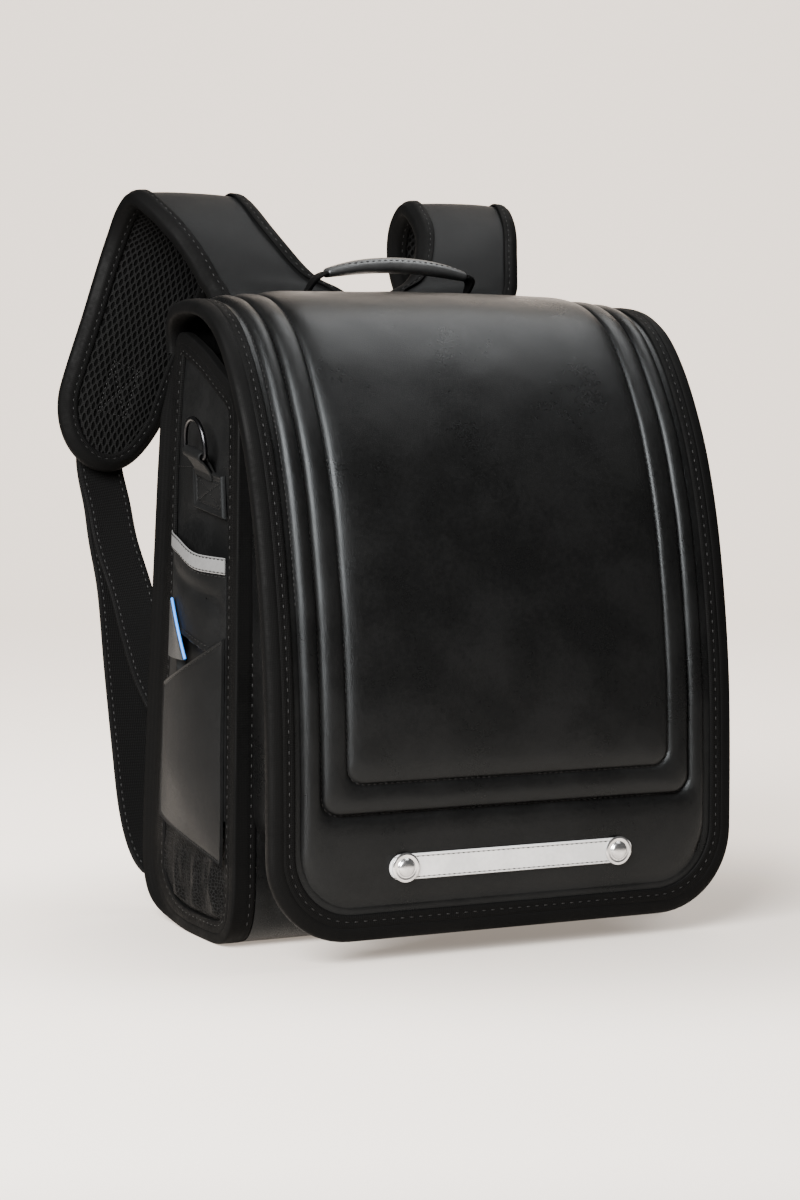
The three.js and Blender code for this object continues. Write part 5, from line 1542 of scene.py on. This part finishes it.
def make_strap_binding(tag, side):
    edge = STRAP_EDGE / 2
    deep = edge + 0.36 * (STRAP_THICKNESS - STRAP_EDGE)
    over = CLEARANCE + STRAP_TAPE_THICKNESS
    top = deep + over
    point, out, normal = strap_rim()
    # Columns: inset, lift of the outer skin, lift of the inner skin
    half_section = np.array([
        (STRAP_TAPE, deep + 0.5, deep + 0.3), (STRAP_TAPE - 0.15, top - 0.3, deep + 0.3),
        (STRAP_TAPE - 0.8, top, deep + 0.3), (STRAP_TAPE - 2.2, top - 0.05, deep + 0.2),
        (STRAP_TAPE - 3, top - 0.35, deep), (STRAP_TAPE - 3.8, top - 0.1, deep),
        (3.6, top - 0.35, deep - 0.5), (2, top - 0.9, edge + 0.4), (0.6, edge + 0.9, edge + 0.35),
        (-0.6, edge + 0.35, edge + 0.1),
        (-1.3, edge - 0.6, edge - 0.5), (-over, edge - 1.8, edge - 1.8), (-over, 0, 0),
    ])
    section = np.vstack([half_section, (half_section * (1, -1, -1))[::-1][1:]])
    def skin(column):
        inset = section[:, 0] if column == 1 else np.maximum(section[:, 0], -CLEARANCE)
        lift = section[:, column]
        grid = point[:, None] - out[:, None] * inset[None, :, None] + normal[:, None] * lift[None, :, None]
        return grid * (side, 1, 1)
    shape = wall(skin(1), skin(2))
    uv = grid_uv(lengths(point)[:, None], lengths(section[:, :2])[None, :])
    piece(f"strap_tape_{tag}", shape, STRAP_TAPE_FINISH, [f"strap_binding_{tag}"], uv=uv)
    for sign in (-1, 1):
        line = point - out * (STRAP_TAPE - 3) + normal * sign * (top - 0.2)
        sew("strap_stitches", line * (side, 1, 1), normal * sign * (side, 1, 1))


def make_web(name, node, side, corners, steps=120):
    curve = soften(even(loose_spline(corners, np.linspace(0, 1, 400)), steps), 2)
    run = unit(np.gradient(curve, axis=0))
    across = unit(np.array([1.0, 0, 0]) - run * run[:, :1])
    normal = unit(np.cross(across, run))
    share = np.array([-1, -0.99, -0.95, -0.88, -0.6, -0.2, 0.2, 0.6, 0.88, 0.95, 0.99, 1])
    thick = WEB_THICKNESS / 2 * np.array([0.15, 0.6, 0.9, 1, 0.94, 0.92, 0.92, 0.94, 1, 0.9, 0.6, 0.15])
    def skin(sign):
        grid = curve[:, None] + across[:, None] * (share * WEB_WIDTH / 2)[None, :, None]
        grid = grid + normal[:, None] * (sign * thick)[None, :, None]
        return grid * (side, 1, 1)
    shape = wall(skin(1), skin(-1))
    uv = grid_uv(lengths(curve)[:, None], (share * WEB_WIDTH / 2)[None, :])
    piece(name, shape, WEBBING, [node], uv=uv)
    for hand in (-1, 1):
        for sign in (-1, 1):
            line = curve + across * hand * (WEB_WIDTH / 2 - 3.2) + normal * sign * (WEB_THICKNESS / 2)
            sew("webbing_stitches", line * (side, 1, 1), normal * sign * (side, 1, 1))


def make_lower_straps(tag, side):
    layer = WEB_THICKNESS + CLEARANCE
    def on_pad(share, lift):
        middle, _, _, normal, _ = strap_frame(share)
        return (middle - normal * (STRAP_THICKNESS / 2 + WEB_THICKNESS / 2 + lift))[0]
    rim_lift = CLEARANCE + STRAP_TAPE_THICKNESS + 0.5
    end = on_pad(1.0, 0)[1]
    at = lambda out, back, up: np.array([STRAP_SPREAD * out, back, STRAP_RISE * up])
    def seat(out, up):
        return back_face(STRAP_RISE * up, STRAP_SPREAD * out / half_width(0)) + CLEARANCE + WEB_THICKNESS / 2
    make_web(f"tail_webbing_{tag}", f"strap_tail_{tag}", side, [
        on_pad(0.86, CLEARANCE), on_pad(0.93, CLEARANCE + 0.5), on_pad(0.985, rim_lift),
        at(0.965, end - 3, 0.56), at(0.955, end - 9, 0.515), at(0.915, end - 21, 0.444),
        at(0.9, end - 36, 0.378), at(0.875, end - 50, 0.317), at(0.83, end - 61, 0.272),
        at(0.765, end - 70, 0.225),
        at(0.71, seat(0.71, 0.17) + 1, 0.17), at(0.69, seat(0.69, 0.13) + 0.3, 0.13)])
    make_web(f"load_webbing_{tag}", f"lower_strap_{tag}", side, [
        on_pad(0.86, CLEARANCE + layer), on_pad(0.93, CLEARANCE + 0.5 + layer),
        on_pad(0.985, rim_lift + layer), at(0.97, end + 0.6, 0.56), at(0.965, end - 3, 0.52),
        at(0.945, end - 11, 0.449),
        at(0.95, end - 25, 0.331), at(0.96, end - 42, 0.217), at(0.963, end - 54, 0.137),
        at(0.95, end - 63, 0.09), at(0.925, end - 72, 0.062), at(0.89, BODY_BACK + 14, 0.053),
        at(0.89, BODY_BACK + 3.3, 0.057)])


# Yoke and handle

def make_yoke():
    z = np.linspace(YOKE_FOOT, YOKE_TOP, 24)[None, :]
    x = np.linspace(-1, 1, 60)[:, None] * YOKE_WIDTH / 2
    gap = np.minimum(YOKE_WIDTH / 2 - np.abs(x), np.minimum(z - YOKE_FOOT, YOKE_TOP - z))
    raised, rim_part = roll(gap, 0.4)
    level = back_face(z) + CLEARANCE
    outer = together(x, level + YOKE_THICKNESS * rim_part + raised, z)
    inner = together(x, level, z)
    shape = wall(outer, inner)
    piece("yoke_leather", shape, LEATHER, ["yoke"])


def make_handle():
    share = np.sin(np.linspace(-1, 1, 72) * math.pi / 2)
    rise = GRIP_ARCH * (1 - share ** 2)
    thick = mix(GRIP_THICKNESS, 0.6 * GRIP_THICKNESS, np.abs(share) ** 3)
    wide = GRIP_WIDTH * (1 - 0.35 * np.abs(share) ** 4)
    turn = np.linspace(0, math.tau, 41)[:-1]
    band = 0.35 * bump((turn - math.pi / 2) / 0.85, 1)
    seam = sum(bump(turn - math.pi / 2 - way, 0.09) for way in (-0.95, 0.95))
    swell = 1 + 0.06 * band - 0.05 * seam
    rings = []
    for s, up, t, w in zip(share, rise, thick, wide):
        end = min(1, math.sqrt(max(1 - abs(s), 0) / 0.02) * 0.5 + 0.5)
        y = GRIP_Y + (w / 2) * np.cos(turn) * swell * end
        z = GRIP_Z + up + (t / 2) * np.sin(turn) * swell * end
        rings.append(np.stack([np.full(40, s * GRIP_LENGTH / 2), y, z], axis=1))
    shape = tube(rings)
    piece("grip_leather", shape, GRIP_LEATHER, ["handle_grip"], sharp=60)
    for way in (-1, 1):
        s = np.linspace(-0.94, 0.94, 80)
        spread = 0.95 * (1 - 0.55 * np.abs(s) ** 3)
        angle = math.pi / 2 + way * spread
        t = mix(GRIP_THICKNESS, 0.6 * GRIP_THICKNESS, np.abs(s) ** 3)
        w = GRIP_WIDTH * (1 - 0.35 * np.abs(s) ** 4)
        y = GRIP_Y + (w / 2) * np.cos(angle)
        z = GRIP_Z + GRIP_ARCH * (1 - s ** 2) + (t / 2) * np.sin(angle)
        up = unit(np.stack([0 * s, np.cos(angle) / w, np.sin(angle) / t], axis=1))
        sew("grip_stitches", np.stack([s * GRIP_LENGTH / 2, y, z], axis=1), up)
    for tag, side in SIDES:
        top = GRIP_LENGTH / 2 + CLEARANCE
        seat = back_face(YOKE_TOP) + CLEARANCE + YOKE_THICKNESS / 2
        # Columns: across, height, depth, half width
        path = np.array([
            (top, GRIP_Z, GRIP_Y, HANDLE_WEB / 2), (top + 4, GRIP_Z - 2, GRIP_Y + 1, HANDLE_WEB / 2),
            (top + 6, GRIP_Z - 9, GRIP_Y + 9, 0.3 * HANDLE_WEB),
            (top + 7, GRIP_Z - 18, seat - 2.5, YOKE_THICKNESS / 2 + 0.7),
            (top + 8, YOKE_TOP + CLEARANCE, seat, YOKE_THICKNESS / 2)], float)
        path = soften(even(loose_spline(path, np.linspace(0, 1, 120)), 40), 1.5)
        run = unit(np.gradient(path[:, :2], axis=0))
        cross = np.array([-1, -0.9, -0.5, 0, 0.5, 0.9, 1])
        thin = HANDLE_WEB_THICKNESS / 2 * np.array([0.4, 0.95, 1, 1, 1, 0.95, 0.4])
        def skin(sign):
            x = path[:, :1] - run[:, 1:] * sign * thin
            z = path[:, 1:2] + run[:, :1] * sign * thin
            y = path[:, 2:3] + path[:, 3:] * cross
            return np.stack([side * x, y, z], axis=-1)
        shape = wall(skin(1), skin(-1))
        uv = grid_uv(lengths(path[:, :2])[:, None], (6 * cross)[None, :])
        piece(f"handle_web_{tag}", shape, WEBBING, [f"handle_webbing_{tag}"], uv=uv)


# Studio

def make_floor():
    front, bend, reach, top = -4.0, 2.4, 1.4, 4.0
    turn = np.linspace(0, math.pi / 2, 24)
    line = [(front, 0.0)] + [(bend + reach * math.sin(a), reach * (1 - math.cos(a))) for a in turn]
    line.append((bend + reach, top))
    points = [(x, y, z) for x in (-5.0, 5.0) for y, z in line]
    count = len(line)
    faces = [(i, count + i, count + i + 1, i + 1) for i in range(count - 1)]
    mesh = bpy.data.meshes.new("studio_floor")
    mesh.from_pydata(points, [], faces)
    mesh.polygons.foreach_set("use_smooth", [True] * len(mesh.polygons))
    made, tree, shader, place = new_material("Warm pale paper with painted shadow", Specular_IOR_Level=0.1, Roughness=0.9,
                                             Emission_Strength=1.42)
    mottle = put(tree, "ShaderNodeTexNoise", {"Vector": place["Object"], "Scale": 2.0, "Detail": 2.0})
    paper = tone(tree, mottle.outputs["Fac"], (0.78, 0.72, 0.66, 1), (0.8, 0.74, 0.68, 1))
    at = put(tree, "ShaderNodeSeparateXYZ", {0: place["Object"]}).outputs
    reach = maths(tree, "MULTIPLY_ADD", at[1], 0.22, 0.45)
    aside = maths(tree, "DIVIDE", maths(tree, "ABSOLUTE", at[0]), reach)
    beside = blend_range(tree, aside, 0.8, 1.5, 1.0, 0.0)
    lit = maths(tree, "MULTIPLY", beside, blend_range(tree, at[1], -0.9, 0.6))
    # Painted shadow round the bag's footprint: there the floor's glow is lowered and its paper colour is
    # darkened.
    away = [maths(tree, "DIVIDE", maths(tree, "SUBTRACT", at[axis], middle), size)
            for axis, middle, size in ((0, 0.08, 0.27), (1, 0.0, 0.22))]
    far = far_from(tree, *away)
    glow_past_painted_shadow = blend_range(tree, far, 0.35, 1.6, 0.38, 1.0)
    glow = tone(tree, maths(tree, "MULTIPLY", lit, glow_past_painted_shadow), grey(0.0), (1.0, 0.86, 0.735, 1))
    painted_shadow_tone = blend_range(tree, far, 0.5, 1.6, 0.62, 1.0)
    paper_in_painted_shadow = put(tree, "ShaderNodeMix", {0: 1.0, 6: paper, 7: painted_shadow_tone}, data_type="RGBA", blend_type="MULTIPLY")
    wire(tree, shader.inputs["Emission Color"], glow)
    seen = maths(tree, "MULTIPLY", beside, blend_range(tree, at[1], -0.8, -0.5))
    wire(tree, shader.inputs["Base Color"], tone(tree, seen, grey(0.12), paper_in_painted_shadow.outputs[2]))
    mesh.materials.append(made)
    floor = bpy.data.objects.new("studio_floor", mesh)
    floor.rotation_euler = (0, 0, math.radians(-26))
    bpy.context.scene.collection.objects.link(floor)


def aim(thing, target):
    way = Vector(target) - thing.location
    thing.rotation_euler = way.to_track_quat("-Z", "Y").to_euler()


def add_softbox(name, place, target, size, power, tint=(1, 1, 1)):
    light = bpy.data.lights.new(name, "AREA")
    light.shape = "RECTANGLE"
    light.size, light.size_y = size
    light.energy = power
    light.color = tint
    made = bpy.data.objects.new(name, light)
    made.location = place
    aim(made, target)
    bpy.context.scene.collection.objects.link(made)


def make_studio():
    make_floor()
    add_softbox("key_softbox", (-1.5, -1.15, 1.2), (0, -0.05, 0.25), (1.25, 1.2), 245, (1, 0.99, 0.975))
    add_softbox("top_softbox", (0.75, 0.05, 2.0), (0, 0, 0.3), (1.4, 0.9), 34, (1, 0.995, 0.985))
    world = bpy.data.worlds.new("Soft room")
    world.use_nodes = True
    world.node_tree.nodes["Background"].inputs["Color"].default_value = (1, 0.985, 0.965, 1)
    world.node_tree.nodes["Background"].inputs["Strength"].default_value = 0.15
    bpy.context.scene.world = world
    camera = bpy.data.cameras.new("view")
    camera.sensor_fit = "VERTICAL"
    camera.sensor_height = 36
    camera.lens = 79.74
    eye = bpy.data.objects.new("view", camera)
    eye.location = (-0.6788, -1.3699, 0.284)
    eye.rotation_euler = (math.radians(90 - 3.745), 0, math.radians(-26))
    bpy.context.scene.collection.objects.link(eye)
    bpy.context.scene.camera = eye


make_studio()
make_flap()
make_flap_binding()
make_strip()
make_body_wall()
make_back_panel()
make_front_pocket()
finish_magnet()
make_yoke()
make_handle()
for tag, side in SIDES:
    make_rivet(tag, side)
    make_side_panel(tag, side)
    make_side_binding(tag, side)
    make_side_pockets(tag, side)
    make_net_piece(tag, side)
    make_lip(tag, side)
    make_ring(tag, side)
    make_tab(tag, side)
    make_strap(tag, side)
    make_lower_straps(tag, side)

# Pitch, length, width and rise of each kind of stitch
for row in (
    ("tape_stitches", 5.4, 2.4, 0.7, 0.5, LIGHT_THREAD, "tape"),
    ("strap_stitches", 5.0, 2.3, 0.6, 0.4, LIGHT_THREAD, "tape"),
    ("flap_seam_stitches", 3.4, 2.4, 0.8, 0.6, DARK_THREAD, "leather"),
    ("channel_stitches", 3.4, 2.5, 0.8, 0.6, DARK_THREAD, "leather"),
    ("strip_stitches", 3.0, 1.7, 0.6, 0.4, DARK_THREAD, "leather"),
    ("dark_side_stitches", 3.2, 2.3, 0.7, 0.5, DARK_THREAD, "leather"),
    ("strap_box_stitches", 3.0, 2.2, 0.7, 0.5, DARK_THREAD, "tape"),
    ("webbing_stitches", 4.4, 2.6, 0.8, 0.5, EDGE_THREAD, "webbing"),
    ("grip_stitches", 3.6, 2.4, 0.8, 0.5, EDGE_THREAD, "leather"),
):
    make_stitches(*row)
